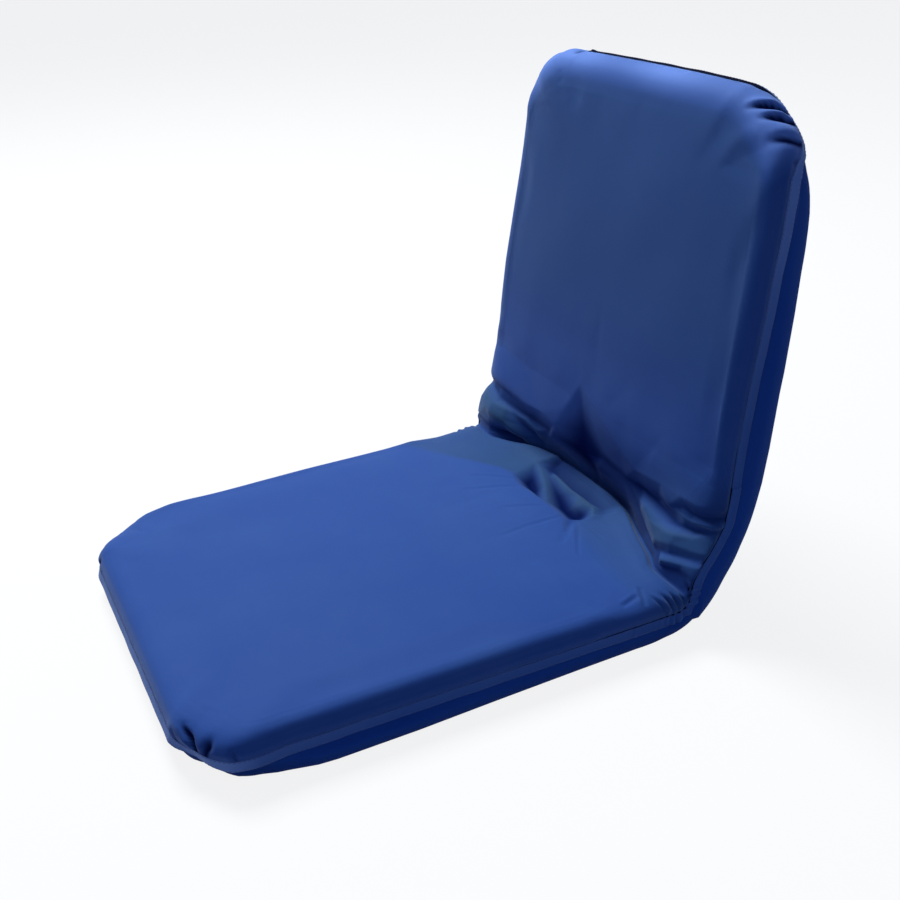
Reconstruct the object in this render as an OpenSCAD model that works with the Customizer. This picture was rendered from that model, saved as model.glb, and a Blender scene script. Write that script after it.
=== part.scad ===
// Folding floor chair: a padded seat and a padded back joined by two ratchet hinges.
// A steel tube frame with webbing lies between foam slabs inside a zipped fabric cover.
// The origin is on the floor under the middle of the seat. +Z is up and the sitter faces -Y.
// Each half is drawn in its own frame: x across, y away from the hinge axis, z out of the
// sitting face, with the hinge axis at the zero of y and z.

/* [Cover] */
// Width of the cover from seam to seam at the hinge
cover_w = 410; // [380:1:480]
// How much narrower the seat cover is at its front edge
seat_taper = 18; // [0:1:30]
// How much narrower the back cover is at its top edge
back_taper = 32; // [0:1:38]
// Length of the seat from the hinge axis to the front seam
seat_len = 487; // [420:1:560]
// Length of the back from the hinge axis to the top seam
back_len = 435; // [390:1:560]
// Radius of the seat's front corners
seat_corner_r = 62; // [50:1:80]
// Radius of the back's top corners
back_corner_r = 72; // [55:1:85]
// Thickness of a pad from its outer face to the level of the hinge axis
pad_depth = 55; // [52:1:64]
// Drop of the sitting faces' edges below the level of the hinge axis
face_drop = 3; // [2:0.5:6]
// Rise of the seat's crown above its edges
seat_crown = 5; // [1:0.5:7]
// Rise of the back's crown above its edges
back_crown = 8; // [1:0.5:9]
// Thickness of the cover cloth
cloth_t = 1; // [0.6:0.1:1.4]
// Depth of the seat's seam below the hinge axis
seat_seam_depth = 24; // [18:0.5:28]
// Depth of the back's seam below the hinge axis
back_seam_depth = 19; // [16:0.5:28]
// Width of the seam tape
tape_w = 12; // [8:0.5:14]
// How far in from the seam the sitting face rounds over
edge_round = 24; // [16:1:32]
// How far in from the seam the outer face turns under
base_round = 12; // [8:1:18]
// Depth of the pleats at the rounded corners
pleat_depth = 2.4; // [0:0.2:3]

/* [Pose] */
// Angle between the seat and the back
back_angle = 96.5; // [90:0.5:110]

/* [Frame] */
// Distance from the cover's edge to the centre of the frame's leg
frame_inset = 35; // [30:1:42]
// Outer diameter of the frame tube
tube_d = 16; // [14:0.5:18]
// Wall of the frame tube
tube_wall = 1.2; // [1:0.1:1.6]
// Depth of the tube's centre below the hinge axis
tube_depth = 28; // [27:0.5:30]
// Bend radius of the frame's corners
bend_r = 62; // [45:1:70]
// Distance from the end seam to the centre of the tube
end_margin = 22; // [19:0.5:30]
// Outer diameter of the cross tube
cross_d = 12; // [10:0.5:14]
// Distance of the cross tube from the hinge axis
cross_at = 104; // [98:1:120]
// Width of a webbing strap
strap_w = 38; // [25:1:50]
// Number of straps across each frame
strap_count = 3; // [2:1:4]
// Thickness of the webbing
strap_t = 1.4; // [1:0.1:1.8]

/* [Hinge] */
// Radius of the round head of the hinge cheeks
head_r = 13; // [12.6:0.1:13.6]
// Radius of the ratchet wheel over the tips of its teeth
tip_r = 11.8; // [11.4:0.1:12.2]
// Depth of a ratchet tooth
tooth_depth = 2.2; // [1.8:0.1:2.4]
// Number of steps between upright and flat
recline_steps = 6; // [4:1:7]
// Thickness of the ratchet arm and the pawl
arm_t = 4; // [3:0.1:5]
// Thickness of a hinge cheek
cheek_t = 2.5; // [2:0.1:3]
// Diameter of the pivot pin
pivot_d = 7; // [6:0.1:8]
// Diameter of the pawl's pin
pawl_pin_d = 5; // [4:0.1:5.6]
// Diameter of the rivets
rivet_d = 5; // [4:0.1:5.6]
// Angle through which the pawl is lifted clear of the teeth
pawl_lift = 9; // [8.5:0.1:10]

/* [Zip] */
// Distance from the cover's edge to each end of the zip
zip_inset = 55; // [45:1:105]
// Distance of the zip from the hinge axis
zip_at = 92; // [75:1:120]
// Width of the zip over both tapes
zip_w = 26; // [20:1:34]

/* [Hidden] */
$fn = 48;

// Colours of the finishes
navy = "#2c4a8c";
navy_dark = "#1f3568";
foam_grey = "#8f949c";
steel_black = "#2b2d30";
zinc = "#b9bdc2";
webbing_black = "#26272b";
nylon_white = "#e4e4dc";

// Clearances: between soft pieces, between fitted pieces, and the overrun of a cut
soft_gap = 0.3;
foam_ease = 0.6;
fit_gap = 0.05;
overrun = 1;

// Where each pad's cover begins, measured from the hinge axis
seat_top_start = 29;
seat_base_start = 14;
back_front_start = 50;
back_rear_start = 40;
seat_bow = 36;
seat_base_bow = 4;
back_bow = 20;
back_rear_bow = 4;
seat_foam_start = 48;
seat_foam_bow = 50;
hinge_corner_r = 24;
open_zone = 26;
mouth_drop = 4;
mouth_lift = 14;
least_radius_share = 0.15;

// Frame of reference
tilt = 180 - back_angle;
hinge_y = seat_len / 2;
hinge_z = pad_depth;
seat_front_w = cover_w - seat_taper;
back_top_w = cover_w - back_taper;
frame_w = cover_w - 2 * frame_inset;
half_frame = frame_w / 2;
tube_r = tube_d / 2;
cross_r = cross_d / 2;

// Samples around a pad: along a side, round a corner, along an end
side_n = 6;
corner_n = 12;
end_n = 6;
mouth_corner_n = 3;
mouth_n = 9;
pleats_per_corner = 3;

// Profile of the sitting face from the seam inwards, as shares of edge_round and of the rise
edge_in_shares = [0, -0.03, 0.05, 0.32, 0.85];
edge_up_shares = [0, 0.38, 0.72, 0.93, 1];
// The crown beyond the rounded edge, as shares of the half width and of the crown's rise
crown_in_shares = [0.3, 0.55, 0.85];
crown_up_shares = [0.62, 0.9, 1];
// Profile of the outer face from the lower seam to the flat, as shares of base_round and depth
base_in_shares = [0, 0.06, 0.42, 1];
base_down_shares = [0, 0.5, 0.92, 1];

// Neck and tang of the hinge plates
tube_start = 40;
tang_end = 80;
rivet_places = [52, 70];
cheek_neck_r = 9;
tang_gap = 0.6;
rivet_head_r = 4.4;
rivet_head_t = 1.8;
rivet_head_share = 0.6;
pivot_head_r = 6.5;
pivot_head_t = 2.4;
pivot_head_share = 0.7;
spacer_r = 6.5;
pawl_at = [19, -7];
pawl_hub_r = 4.2;
pawl_web_r = 3.6;
pawl_nose_at = -60;
pawl_tip_r = 2.2;
nose_flank = 2.5;
nose_rise = 1.5;
nose_gap = 0.6;
plain_from = 20;
plain_n = 14;
tail_turn = 60;
tail_n = 6;
spacer_gap = 0.1;
spring_t = 0.8;
spring_w = 6;
spring_bow = 1.2;
spring_hold = 8;
spring_lip = 4;
pin_head_t = 1.3;
pin_head_r = 3.6;
notch_half_w = 16;
notch_end = 84;

// Crease: half its width, its grid, the rise of its bulges and folds, and the tuft
crease_margin = 9;
crease_half_w = cover_w / 2 - crease_margin;
crease_cols = 36;
crease_rows = 12;
crease_bulge = 3;
crease_side_bulge = 6;
crease_fold = 1.8;
crease_slant = 220;
tuft_r = 16;
tuft_at = 0.42;
tuft_span = 0.2;
tuft_folds = 5;
tuft_fold = 3;
tuft_depth = 9;

// Outer hinge panel: its grid and its bulge
wrap_rows = 6;
wrap_side_n = 3;
wrap_floor_n = 14;
wrap_corner_n = 4;
wrap_bulge = 3;

// Zip
zip_len = cover_w - 2 * zip_inset;
zip_t = 0.8;
coil_w = 4;
coil_pitch = 4;
coil_t = 0.5;
slider_len = 11;
slider_w = 7;
slider_t = 1.4;
slider_waist = 5;
bridge_w = 1.6;
bridge_h = 1.8;
bridge_len = 6;
zip_end = 3;

// Smooth step from 0 to 1
function ease(t) = let (c = min(max(t, 0), 1)) c * c * (3 - 2 * c);

// One half of a pad's cover: [half width at the hinge, half width at the far end, start,
// end, far corner radius, bow of the hinge end, depth of the seam]
seat_top_plan = [cover_w / 2, seat_front_w / 2, seat_top_start, seat_len, seat_corner_r, seat_bow,
    seat_seam_depth];
seat_foam_plan = [cover_w / 2 - foam_ease, seat_front_w / 2, seat_foam_start, seat_len, seat_corner_r,
    seat_foam_bow, seat_seam_depth];
seat_base_plan = [cover_w / 2, seat_front_w / 2, seat_base_start, seat_len, seat_corner_r,
    seat_base_bow, seat_seam_depth];
back_front_plan = [cover_w / 2, back_top_w / 2, back_front_start, back_len, back_corner_r, back_bow,
    back_seam_depth];
back_rear_plan = [cover_w / 2, back_top_w / 2, back_rear_start, back_len, back_corner_r,
    back_rear_bow, back_seam_depth];

// How far a pleat draws the cloth in, at share t of the way round a corner
function pleat(t) = pleat_depth * pow(max(0, cos(360 * pleats_per_corner * (t - 0.5))), 4)
    * ease(4 * t) * ease(4 - 4 * t);

// One arc of a corner about c from angle a0, turning by a quarter, with n steps
function corner(c, r, a0, n, draw) = [for (i = [0:n]) let (a = a0 + 90 * i / n,
    q = r - draw * pleat(i / n)) [c[0] + q * cos(a), c[1] + q * sin(a)]];

// A straight run between two points with n inner points
function run(a, b, n) = [for (i = [1:n]) a + (b - a) * i / (n + 1)];

// The closed outline of a pad, drawn in by d, with its pleats at share draw of their depth
function pad_outline(plan, d, draw = 0) = let (
        w0 = plan[0] - d, w1 = plan[1] - d, y0 = plan[2] + d, y1 = plan[3] - d,
        r = max(plan[4] - d, plan[4] * least_radius_share),
        rh = max(hinge_corner_r - d, hinge_corner_r * least_radius_share),
        near = [w0, y0 + rh], far = [w1, y1 - r],
        mouth = run([rh - w0, y0], [w0 - rh, y0], mouth_n))
    concat(
        corner([w0 - rh, y0 + rh], rh, -90, mouth_corner_n, 0),
        run(near, far, side_n),
        corner([w1 - r, y1 - r], r, 0, corner_n, draw),
        run([w1 - r, y1], [r - w1, y1], end_n),
        corner([r - w1, y1 - r], r, 90, corner_n, draw),
        run([-w1, y1 - r], [-w0, y0 + rh], side_n),
        corner([rh - w0, y0 + rh], rh, 180, mouth_corner_n, 0),
        [for (p = mouth) [p[0], p[1] - plan[5] * (1 - pow(p[0] / (w0 - rh), 2))]]);

// Indices of the outline's points along the sides and far end, where the tape runs
tape_first = mouth_corner_n + 1;
tape_last = tape_first + 2 * side_n + 2 * (corner_n + 1) + end_n - 1;

// How near a point is to the hinge end, from 1 there to 0 on the sides
function at_mouth(p, plan) = 1 - ease((p[1] - plan[2]) / open_zone);

// Level of a cover's rim: it opens at the hinge end to let the frame through
function top_rim(p, plan) = -plan[6] + (plan[6] - mouth_drop) * at_mouth(p, plan);
function base_rim(p, plan) = plan[6] + tape_w
    + (pad_depth - plan[6] - tape_w - mouth_lift) * at_mouth(p, plan);

// One ring of the sitting face: share i of the rounded edge, or of the crown past it
edge_rings = len(edge_in_shares);
top_rings = edge_rings + len(crown_in_shares);
function top_ring(plan, crown, i, inner) = let (
        d = (i < edge_rings ? edge_round * edge_in_shares[i]
            : edge_round + (plan[1] - edge_round) * crown_in_shares[i - edge_rings]) + inner,
        draw = i < edge_rings ? 1 - edge_up_shares[i] * edge_up_shares[i] : 0)
    [for (p = pad_outline(plan, d, draw)) let (rim = top_rim(p, plan), level = i < edge_rings
        ? rim + (-face_drop - rim) * edge_up_shares[i]
        : -face_drop + crown * crown_up_shares[i - edge_rings])
        [p[0], p[1], level - (i == 0 ? 0 : inner)]];

// One ring of the outer face, with its depth measured downwards from the hinge axis
base_rings = len(base_in_shares);
function base_ring(plan, i, inner) =
    [for (p = pad_outline(plan, base_round * base_in_shares[i] + inner, 1 - base_down_shares[i]))
        let (rim = base_rim(p, plan))
        [p[0], p[1], rim + (pad_depth - rim) * base_down_shares[i] - (i == 0 ? 0 : inner)]];

// Triangles between ring a and ring b, of n points each
function band(a, b, n) = [for (i = [0:n - 1]) let (j = (i + 1) % n)
    each [[a * n + j, a * n + i, b * n + i], [b * n + j, a * n + j, b * n + i]]];
function bands(first, last, n) = [for (k = [first:last - 1]) each band(k, k + 1, n)];

// A closed solid through a stack of rings
module ring_stack(rings) {
    n = len(rings[0]);
    top = len(rings) - 1;
    polyhedron([for (r = rings) each r], concat(bands(0, top, n),
        [[for (i = [0:n - 1]) i], [for (i = [0:n - 1]) top * n + n - 1 - i]]));
}

// A shell that is open at its first ring. Its last ring is capped, or else left as a hole.
module ring_shell(outer, inner, hole = false) {
    n = len(outer[0]);
    k = len(outer);
    all_rings = concat(outer, [for (i = [k - 1:-1:0]) inner[i]]);
    ends = hole ? band(k - 1, k, n)
        : [[for (i = [0:n - 1]) (k - 1) * n + n - 1 - i], [for (i = [0:n - 1]) k * n + i]];
    polyhedron([for (r = all_rings) each r], concat(bands(0, k - 1, n), bands(k, 2 * k - 1, n),
        band(2 * k - 1, 0, n), ends));
}

// A cloth sheet through a grid of points, thickened along one direction for each point
module sheet(front, rear) {
    rows = len(front);
    cols = len(front[0]);
    points = concat([for (r = front) each r], [for (r = rear) each r]);
    off = rows * cols;
    cells = [for (i = [0:rows - 2], j = [0:cols - 2]) i * cols + j];
    faces = concat(
        [for (c = cells) each [[c + 1, c, c + cols], [c + cols + 1, c + 1, c + cols]]],
        [for (c = cells) each [[off + c + cols, off + c, off + c + 1],
            [off + c + cols, off + c + 1, off + c + cols + 1]]],
        [for (j = [0:cols - 2]) each [[off + j, j, j + 1], [off + j, j + 1, off + j + 1]]],
        [for (j = [0:cols - 2]) let (a = (rows - 1) * cols + j)
            each [[a + 1, a, off + a], [off + a + 1, a + 1, off + a]]],
        [for (i = [0:rows - 2]) let (a = i * cols)
            each [[a + cols, a, off + a], [off + a + cols, a + cols, off + a]]],
        [for (i = [0:rows - 2]) let (a = i * cols + cols - 1)
            each [[off + a, a, a + cols], [off + a, a + cols, off + a + cols]]]);
    polyhedron(points, faces);
}

// Placing: the seat's half lies forward of the hinge, the back's half is turned up behind it
module on_seat() {
    translate([0, hinge_y, hinge_z]) mirror([0, 1, 0]) children();
}
module on_back() {
    translate([0, hinge_y, hinge_z]) rotate([tilt, 0, 0]) children();
}

// A profile in the y, z plane made t thick from x0 along +X
module across(x0, t) {
    translate([x0, 0, 0]) rotate([90, 0, 90]) linear_extrude(t) children();
}

// A rod along +X that starts at x0 and passes through p in the y, z plane
module rod(x0, length, r, p) {
    translate([x0, p[0], p[1]]) rotate([0, 90, 0]) cylinder(h = length, r = r);
}

// Outline of two circles joined by their tangents
function capsule(a, b, ra, rb, n = 14) = let (
        d = b - a, turn = atan2(d[1], d[0]), k = acos((ra - rb) / norm(d)))
    concat(
        [for (i = [0:n]) let (t = turn + k + (360 - 2 * k) * i / n) a + ra * [cos(t), sin(t)]],
        [for (i = [0:n]) let (t = turn - k + 2 * k * i / n) b + rb * [cos(t), sin(t)]]);

// A pad's foam and cover

module seat_cover_top() {
    color(navy) on_seat() top_shell(seat_top_plan, seat_crown);
}
module back_cover_front() {
    color(navy) on_back() top_shell(back_front_plan, back_crown);
}
module top_shell(plan, crown) {
    ring_shell([for (i = [0:top_rings - 1]) top_ring(plan, crown, i, 0)],
        [for (i = [0:top_rings - 1]) top_ring(plan, crown, i, cloth_t)]);
}

module seat_cover_base() {
    color(navy_dark) on_seat() base_shell(seat_base_plan);
}
module back_cover_rear() {
    color(navy_dark) on_back() mirror([0, 0, 1])
        ring_shell(concat([for (i = [0:base_rings - 1]) base_ring(back_rear_plan, i, 0)],
                [zip_slot(pad_depth)]),
            concat([for (i = [0:base_rings - 1]) base_ring(back_rear_plan, i, cloth_t)],
                [zip_slot(pad_depth - cloth_t)]), hole = true);
}
module base_shell(plan) {
    mirror([0, 0, 1])
        ring_shell([for (i = [0:base_rings - 1]) base_ring(plan, i, 0)],
            [for (i = [0:base_rings - 1]) base_ring(plan, i, cloth_t)]);
}

// The slot for the zip, as a ring with one point for each point of the pad's outline. Its four
// corners stand at these places in the outline's order.
slot_first = mouth_corner_n;
slot_corners = [slot_first, slot_first + 2, tape_last - 1, tape_last + 1];
function zip_slot(depth) = let (
        n = len(pad_outline(back_rear_plan, 0)),
        w = zip_len / 2 + soft_gap,
        h = zip_w / 2 + soft_gap,
        corners = [[w, -h], [w, h], [-w, h], [-w, -h]])
    [for (i = [0:n - 1]) let (
        k = (i - slot_first + n) % n,
        marks = [for (c = slot_corners) c - slot_first],
        side = k >= marks[3] ? 3 : k >= marks[2] ? 2 : k >= marks[1] ? 1 : 0,
        end = side == 3 ? n : marks[side + 1],
        t = (k - marks[side]) / (end - marks[side]),
        q = corners[side] + (corners[(side + 1) % 4] - corners[side]) * t)
        [q[0], zip_at + q[1], depth]];

// The tape covers the seam between the two halves of the cover, along the sides and far end
module seam_tape(plan) {
    outer = pad_outline(plan, 0, 1);
    inner = pad_outline(plan, cloth_t, 1);
    top = -plan[6] - soft_gap;
    low = -plan[6] - tape_w + soft_gap;
    ids = [for (i = [tape_first:tape_last]) if (outer[i][1] > plan[2] + open_zone) i];
    sections = [for (i = ids) [
        [inner[i][0], inner[i][1], low], [inner[i][0], inner[i][1], top],
        [outer[i][0], outer[i][1], top], [outer[i][0], outer[i][1], low]]];
    ring_stack(sections);
}
module seat_seam_tape() {
    color(navy) on_seat() seam_tape(seat_top_plan);
}
module back_seam_tape() {
    color(navy) on_back() seam_tape(back_front_plan);
}

// The foam on the sitting side: a crowned slab over the webbing
module upper_foam(plan, crown) {
    foam_edge = [for (i = [2:top_rings - 1]) top_ring(plan, crown, i, cloth_t + 2 * soft_gap)];
    bottom = [for (p = foam_edge[0]) [p[0], p[1], strap_top + soft_gap]];
    ring_stack(concat([bottom], foam_edge));
}
module seat_foam_upper() {
    color(foam_grey) on_seat() upper_foam(seat_foam_plan, seat_crown);
}
module back_foam_front() {
    color(foam_grey) on_back() upper_foam(back_front_plan, back_crown);
}

// Where the hinge plates and tube ends pass through the outer foam
module hinge_notches() {
    low = -tube_depth - cheek_neck_r - overrun;
    for (s = [-1, 1])
        translate([s * half_frame - notch_half_w, -overrun, low])
            cube([2 * notch_half_w, notch_end + overrun, overrun - low]);
}

// The foam on the outer side: a slab with channels that the frame is laid in
foam_inset = base_round + 2;
strap_top = -tube_depth + tube_r + fit_gap + strap_t;
channel_r = tube_r + strap_t + soft_gap;
module lower_foam(plan, length) {
    bottom = -pad_depth + cloth_t + soft_gap;
    top = -tube_depth + tube_r - soft_gap;
    difference() {
        translate([0, 0, bottom]) linear_extrude(top - bottom)
            polygon(pad_outline(plan, foam_inset));
        hinge_notches();
        frame_channel(channel_r, length);
        rod(-half_frame, frame_w, cross_r + soft_gap, [cross_at, -tube_depth]);
        translate([-half_frame, cross_at - cross_r - soft_gap, -tube_depth])
            cube([frame_w, cross_d + 2 * soft_gap, pad_depth]);
    }
}
module seat_foam_lower() {
    color(foam_grey) on_seat() lower_foam(seat_base_plan, seat_len - end_margin);
}
module back_foam_rear() {
    color(foam_grey) on_back() lower_foam(back_rear_plan, back_len - end_margin);
}

// The path of a frame tube swept with a channel that is open upwards
module frame_channel(r, length) {
    for (s = [-1, 1]) {
        translate([s * half_frame, 0, -tube_depth]) rotate([-90, 0, 0])
            cylinder(h = length - bend_r, r = r);
        translate([s * half_frame - r, 0, -tube_depth]) cube([2 * r, length - bend_r, pad_depth]);
        translate([s * (half_frame - bend_r), length - bend_r, -tube_depth])
            rotate([0, 0, s > 0 ? 0 : 90]) rotate_extrude(angle = 90) translate([bend_r, 0, 0]) {
                circle(r);
                translate([-r, 0]) square([2 * r, pad_depth]);
            }
    }
    translate([bend_r - half_frame, length, -tube_depth]) rotate([0, 90, 0])
        cylinder(h = frame_w - 2 * bend_r, r = r);
    translate([bend_r - half_frame, length - r, -tube_depth])
        cube([frame_w - 2 * bend_r, 2 * r, pad_depth]);
}

// A U-bent tube with its two legs towards the hinge
module u_tube(r, start, length) {
    for (s = [-1, 1]) {
        translate([s * half_frame, start, -tube_depth]) rotate([-90, 0, 0])
            cylinder(h = length - bend_r - start, r = r);
        translate([s * (half_frame - bend_r), length - bend_r, -tube_depth])
            rotate([0, 0, s > 0 ? 0 : 90]) rotate_extrude(angle = 90) translate([bend_r, 0, 0])
                circle(r);
    }
    translate([bend_r - half_frame, length, -tube_depth]) rotate([0, 90, 0])
        cylinder(h = frame_w - 2 * bend_r, r = r);
}

module frame_tube(length) {
    bore_r = tube_r - tube_wall;
    difference() {
        u_tube(tube_r, tube_start, length);
        u_tube(bore_r, tube_start - overrun, length);
        for (s = [-1, 1], y = rivet_places)
            rod(s * half_frame - tube_d, 2 * tube_d, rivet_d / 2 + fit_gap, [y, -tube_depth]);
    }
}
module seat_frame_tube() {
    color(steel_black) on_seat() frame_tube(seat_len - end_margin);
}
module back_frame_tube() {
    color(steel_black) on_back() frame_tube(back_len - end_margin);
}

// A tube across the legs, its ends cut to sit on them
module cross_tube() {
    difference() {
        rod(-half_frame, frame_w, cross_r, [cross_at, -tube_depth]);
        rod(-half_frame - overrun, frame_w + 2 * overrun, cross_r - tube_wall,
            [cross_at, -tube_depth]);
        for (s = [-1, 1])
            translate([s * half_frame, cross_at - tube_d, -tube_depth]) rotate([-90, 0, 0])
                cylinder(h = 2 * tube_d, r = tube_r + fit_gap);
    }
}
module seat_cross_tube() {
    color(steel_black) on_seat() cross_tube();
}
module back_cross_tube() {
    color(steel_black) on_back() cross_tube();
}

// Webbing straps that loop round both legs
module webbing(length) {
    first = cross_at + cross_r + strap_w;
    last = length - bend_r - strap_w / 2;
    step = (last - first) / (strap_count - 1);
    sleeve_r = tube_r + fit_gap + strap_t;
    for (k = [0:strap_count - 1]) let (y = first + k * step - strap_w / 2)
        difference() {
            union() {
                translate([-half_frame, y, strap_top - strap_t])
                    cube([frame_w, strap_w, strap_t]);
                for (s = [-1, 1])
                    translate([s * half_frame, y, -tube_depth]) rotate([-90, 0, 0])
                        cylinder(h = strap_w, r = sleeve_r);
            }
            for (s = [-1, 1])
                translate([s * half_frame, y - overrun, -tube_depth]) rotate([-90, 0, 0])
                    cylinder(h = strap_w + 2 * overrun, r = tube_r + fit_gap);
        }
}
module seat_webbing() {
    color(webbing_black) on_seat() webbing(seat_len - end_margin);
}
module back_webbing() {
    color(webbing_black) on_back() webbing(back_len - end_margin);
}

// The ratchet hinge. The side is 1 at +X and -1 at -X.

root_r = tip_r - tooth_depth;
pitch = tilt / recline_steps;
first_gap = back_angle - pawl_nose_at;
function polar(r, a) = r * [cos(a), sin(a)];

// The wheel's outline: a plain stretch that the pawl runs over as the chair folds, then the
// teeth. Each has a radial flank that the pawl stands on and a slope that it climbs.
function wheel_outline() = concat(
    [for (i = [0:plain_n]) polar(root_r,
        plain_from + (first_gap - nose_flank - plain_from) * i / plain_n)],
    [for (k = [0:recline_steps]) each [
        polar(root_r, first_gap + k * pitch - nose_flank),
        polar(root_r, first_gap + k * pitch + nose_flank),
        polar(tip_r, first_gap + k * pitch + nose_flank + nose_rise)]],
    [for (i = [1:tail_n]) polar(tip_r - tooth_depth * i / tail_n,
        first_gap + tilt + nose_flank + nose_rise + tail_turn * i / tail_n)]);

module ratchet_arm(side) {
    tang_r = tube_r - tube_wall - tang_gap;
    color(zinc) on_seat() difference() {
        across(side * half_frame - arm_t / 2, arm_t) {
            polygon(wheel_outline());
            polygon(capsule([0, 0], [tube_start, -tube_depth], root_r, tang_r));
            translate([tube_start, -tube_depth - tang_r])
                square([tang_end - tube_start, 2 * tang_r]);
        }
        // the neck is cut back where the tube's wall is
        for (s = [-1, 1])
            translate([side * half_frame - arm_t, tube_start - tang_gap,
                -tube_depth + (s > 0 ? tang_r : -tang_r - tube_depth)])
                cube([2 * arm_t, tang_end, tube_depth]);
        rod(side * half_frame - arm_t, 2 * arm_t, pivot_d / 2 + fit_gap, [0, 0]);
        for (y = rivet_places)
            rod(side * half_frame - arm_t, 2 * arm_t, rivet_d / 2 + fit_gap, [y, -tube_depth]);
    }
}

// A rivet across the hinge with a domed head at each end
module rivet(x, half_grip, p) {
    rod(x - half_grip - fit_gap, 2 * (half_grip + fit_gap), rivet_d / 2, p);
    for (s = [-1, 1])
        translate([x + s * (half_grip + fit_gap), p[0], p[1]]) rotate([0, s * 90, 0])
            cylinder(h = rivet_head_t, r1 = rivet_head_r, r2 = rivet_head_r * rivet_head_share);
}
module seat_rivets(side) {
    color(zinc) on_seat() for (y = rivet_places) rivet(side * half_frame, tube_r, [y, -tube_depth]);
}
module back_rivets(side) {
    color(zinc) on_back() for (y = rivet_places)
        rivet(side * half_frame, tube_r + fit_gap + cheek_t, [y, -tube_depth]);
}

// A cheek plate: round head, cranked neck and a tang that lies along the back tube
module cheek(side, out) {
    x = side * half_frame + (out * side > 0 ? tube_r + fit_gap : -tube_r - fit_gap - cheek_t);
    color(zinc) on_back() difference() {
        across(x, cheek_t) {
            polygon(capsule([0, 0], [tube_start, -tube_depth], head_r, cheek_neck_r));
            polygon(capsule([tube_start, -tube_depth], [tang_end - cheek_neck_r, -tube_depth],
                cheek_neck_r, cheek_neck_r));
        }
        rod(x - overrun, cheek_t + 2 * overrun, pivot_d / 2 + fit_gap, [0, 0]);
        rod(x - overrun, cheek_t + 2 * overrun, pawl_pin_d / 2 + fit_gap, pawl_at);
        for (y = rivet_places)
            rod(x - overrun, cheek_t + 2 * overrun, rivet_d / 2 + fit_gap, [y, -tube_depth]);
    }
}

// The pin that the hinge turns on, with its two heads
module pivot_pin(side) {
    half_grip = tube_r + 2 * fit_gap + cheek_t;
    color(zinc) on_back() {
        rod(side * half_frame - half_grip, 2 * half_grip, pivot_d / 2, [0, 0]);
        for (s = [-1, 1])
            translate([side * half_frame + s * half_grip, 0, 0]) rotate([0, s * 90, 0])
                cylinder(h = pivot_head_t, r1 = pivot_head_r,
                    r2 = pivot_head_r * pivot_head_share);
    }
}

// Two nylon spacers keep the wheel midway between the cheeks
module pivot_spacers(side) {
    thick = tube_r - arm_t / 2 - spacer_gap;
    color(nylon_white) on_back() for (s = [-1, 1])
        difference() {
            rod(side * half_frame + (s > 0 ? arm_t / 2 + spacer_gap / 2 : spacer_gap / 2 - tube_r),
                thick, spacer_r, [0, 0]);
            rod(side * half_frame - tube_r - overrun, tube_d + 2 * overrun,
                pivot_d / 2 + fit_gap, [0, 0]);
        }
}

// The pawl's nose points at the wheel's centre. Shares are of the nose's height and width.
pawl_tip = polar(tip_r + pawl_tip_r + nose_gap, pawl_nose_at);
nose_width_shares = [-0.7, 0.7, 1.6, -1.6];
nose_height_shares = [0, 0, 0.8, 0.8];
function nose_outline() = [for (i = [0:3]) polar(
    root_r + nose_gap + (tooth_depth + pawl_tip_r) * nose_height_shares[i],
    pawl_nose_at + nose_flank * nose_width_shares[i])];

// The pawl, drawn engaged and then lifted clear of the teeth
module pawl(side) {
    color(zinc) on_back() translate([0, pawl_at[0], pawl_at[1]]) rotate([pawl_lift, 0, 0])
        translate([0, -pawl_at[0], -pawl_at[1]]) difference() {
            union() {
                across(side * half_frame - arm_t / 2, arm_t) {
                    polygon(capsule(pawl_at, pawl_tip, pawl_web_r, pawl_tip_r));
                    polygon(nose_outline());
                }
                rod(side * half_frame - tube_r + soft_gap, tube_d - 2 * soft_gap, pawl_hub_r,
                    pawl_at);
            }
            rod(side * half_frame - tube_r, tube_d, pawl_pin_d / 2 + fit_gap, pawl_at);
        }
}

module pawl_pin(side) {
    half_grip = tube_r + 2 * fit_gap + cheek_t;
    color(zinc) on_back() {
        rod(side * half_frame - half_grip, 2 * half_grip, pawl_pin_d / 2, pawl_at);
        for (s = [-1, 1])
            translate([side * half_frame + s * half_grip, pawl_at[0], pawl_at[1]])
                rotate([0, s * 90, 0]) cylinder(h = pin_head_t, r1 = pin_head_r,
                    r2 = pin_head_r * rivet_head_share);
    }
}

// A leaf spring from the bore of the back tube to the outer edge of the pawl
module pawl_spring(side) {
    tail_level = -tube_depth - tube_r + tube_wall + spring_t + soft_gap;
    arm = pawl_tip - pawl_at;
    lifted = pawl_at + [arm[0] * cos(pawl_lift) - arm[1] * sin(pawl_lift),
        arm[0] * sin(pawl_lift) + arm[1] * cos(pawl_lift)];
    touch = lifted + [spring_t, -pawl_tip_r - soft_gap - spring_t];
    middle = [(tube_start + touch[0]) / 2, (tail_level + touch[1]) / 2 - spring_bow];
    line = [[tube_start + spring_hold, tail_level], [tube_start - spring_bow, tail_level], middle,
        touch, touch - [spring_lip, spring_t / 2]];
    color(zinc) on_back() across(side * half_frame - spring_w / 2, spring_w)
        polygon(concat(line, [for (i = [len(line) - 1:-1:0]) line[i] + [0, spring_t]]));
}

// Cloth that crosses the hinge

function seat_point(p) = [p[0], hinge_y - p[1], hinge_z + p[2]];
function back_point(p) = [p[0], hinge_y + p[1] * cos(tilt) - p[2] * sin(tilt),
    hinge_z + p[1] * sin(tilt) + p[2] * cos(tilt)];

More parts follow.
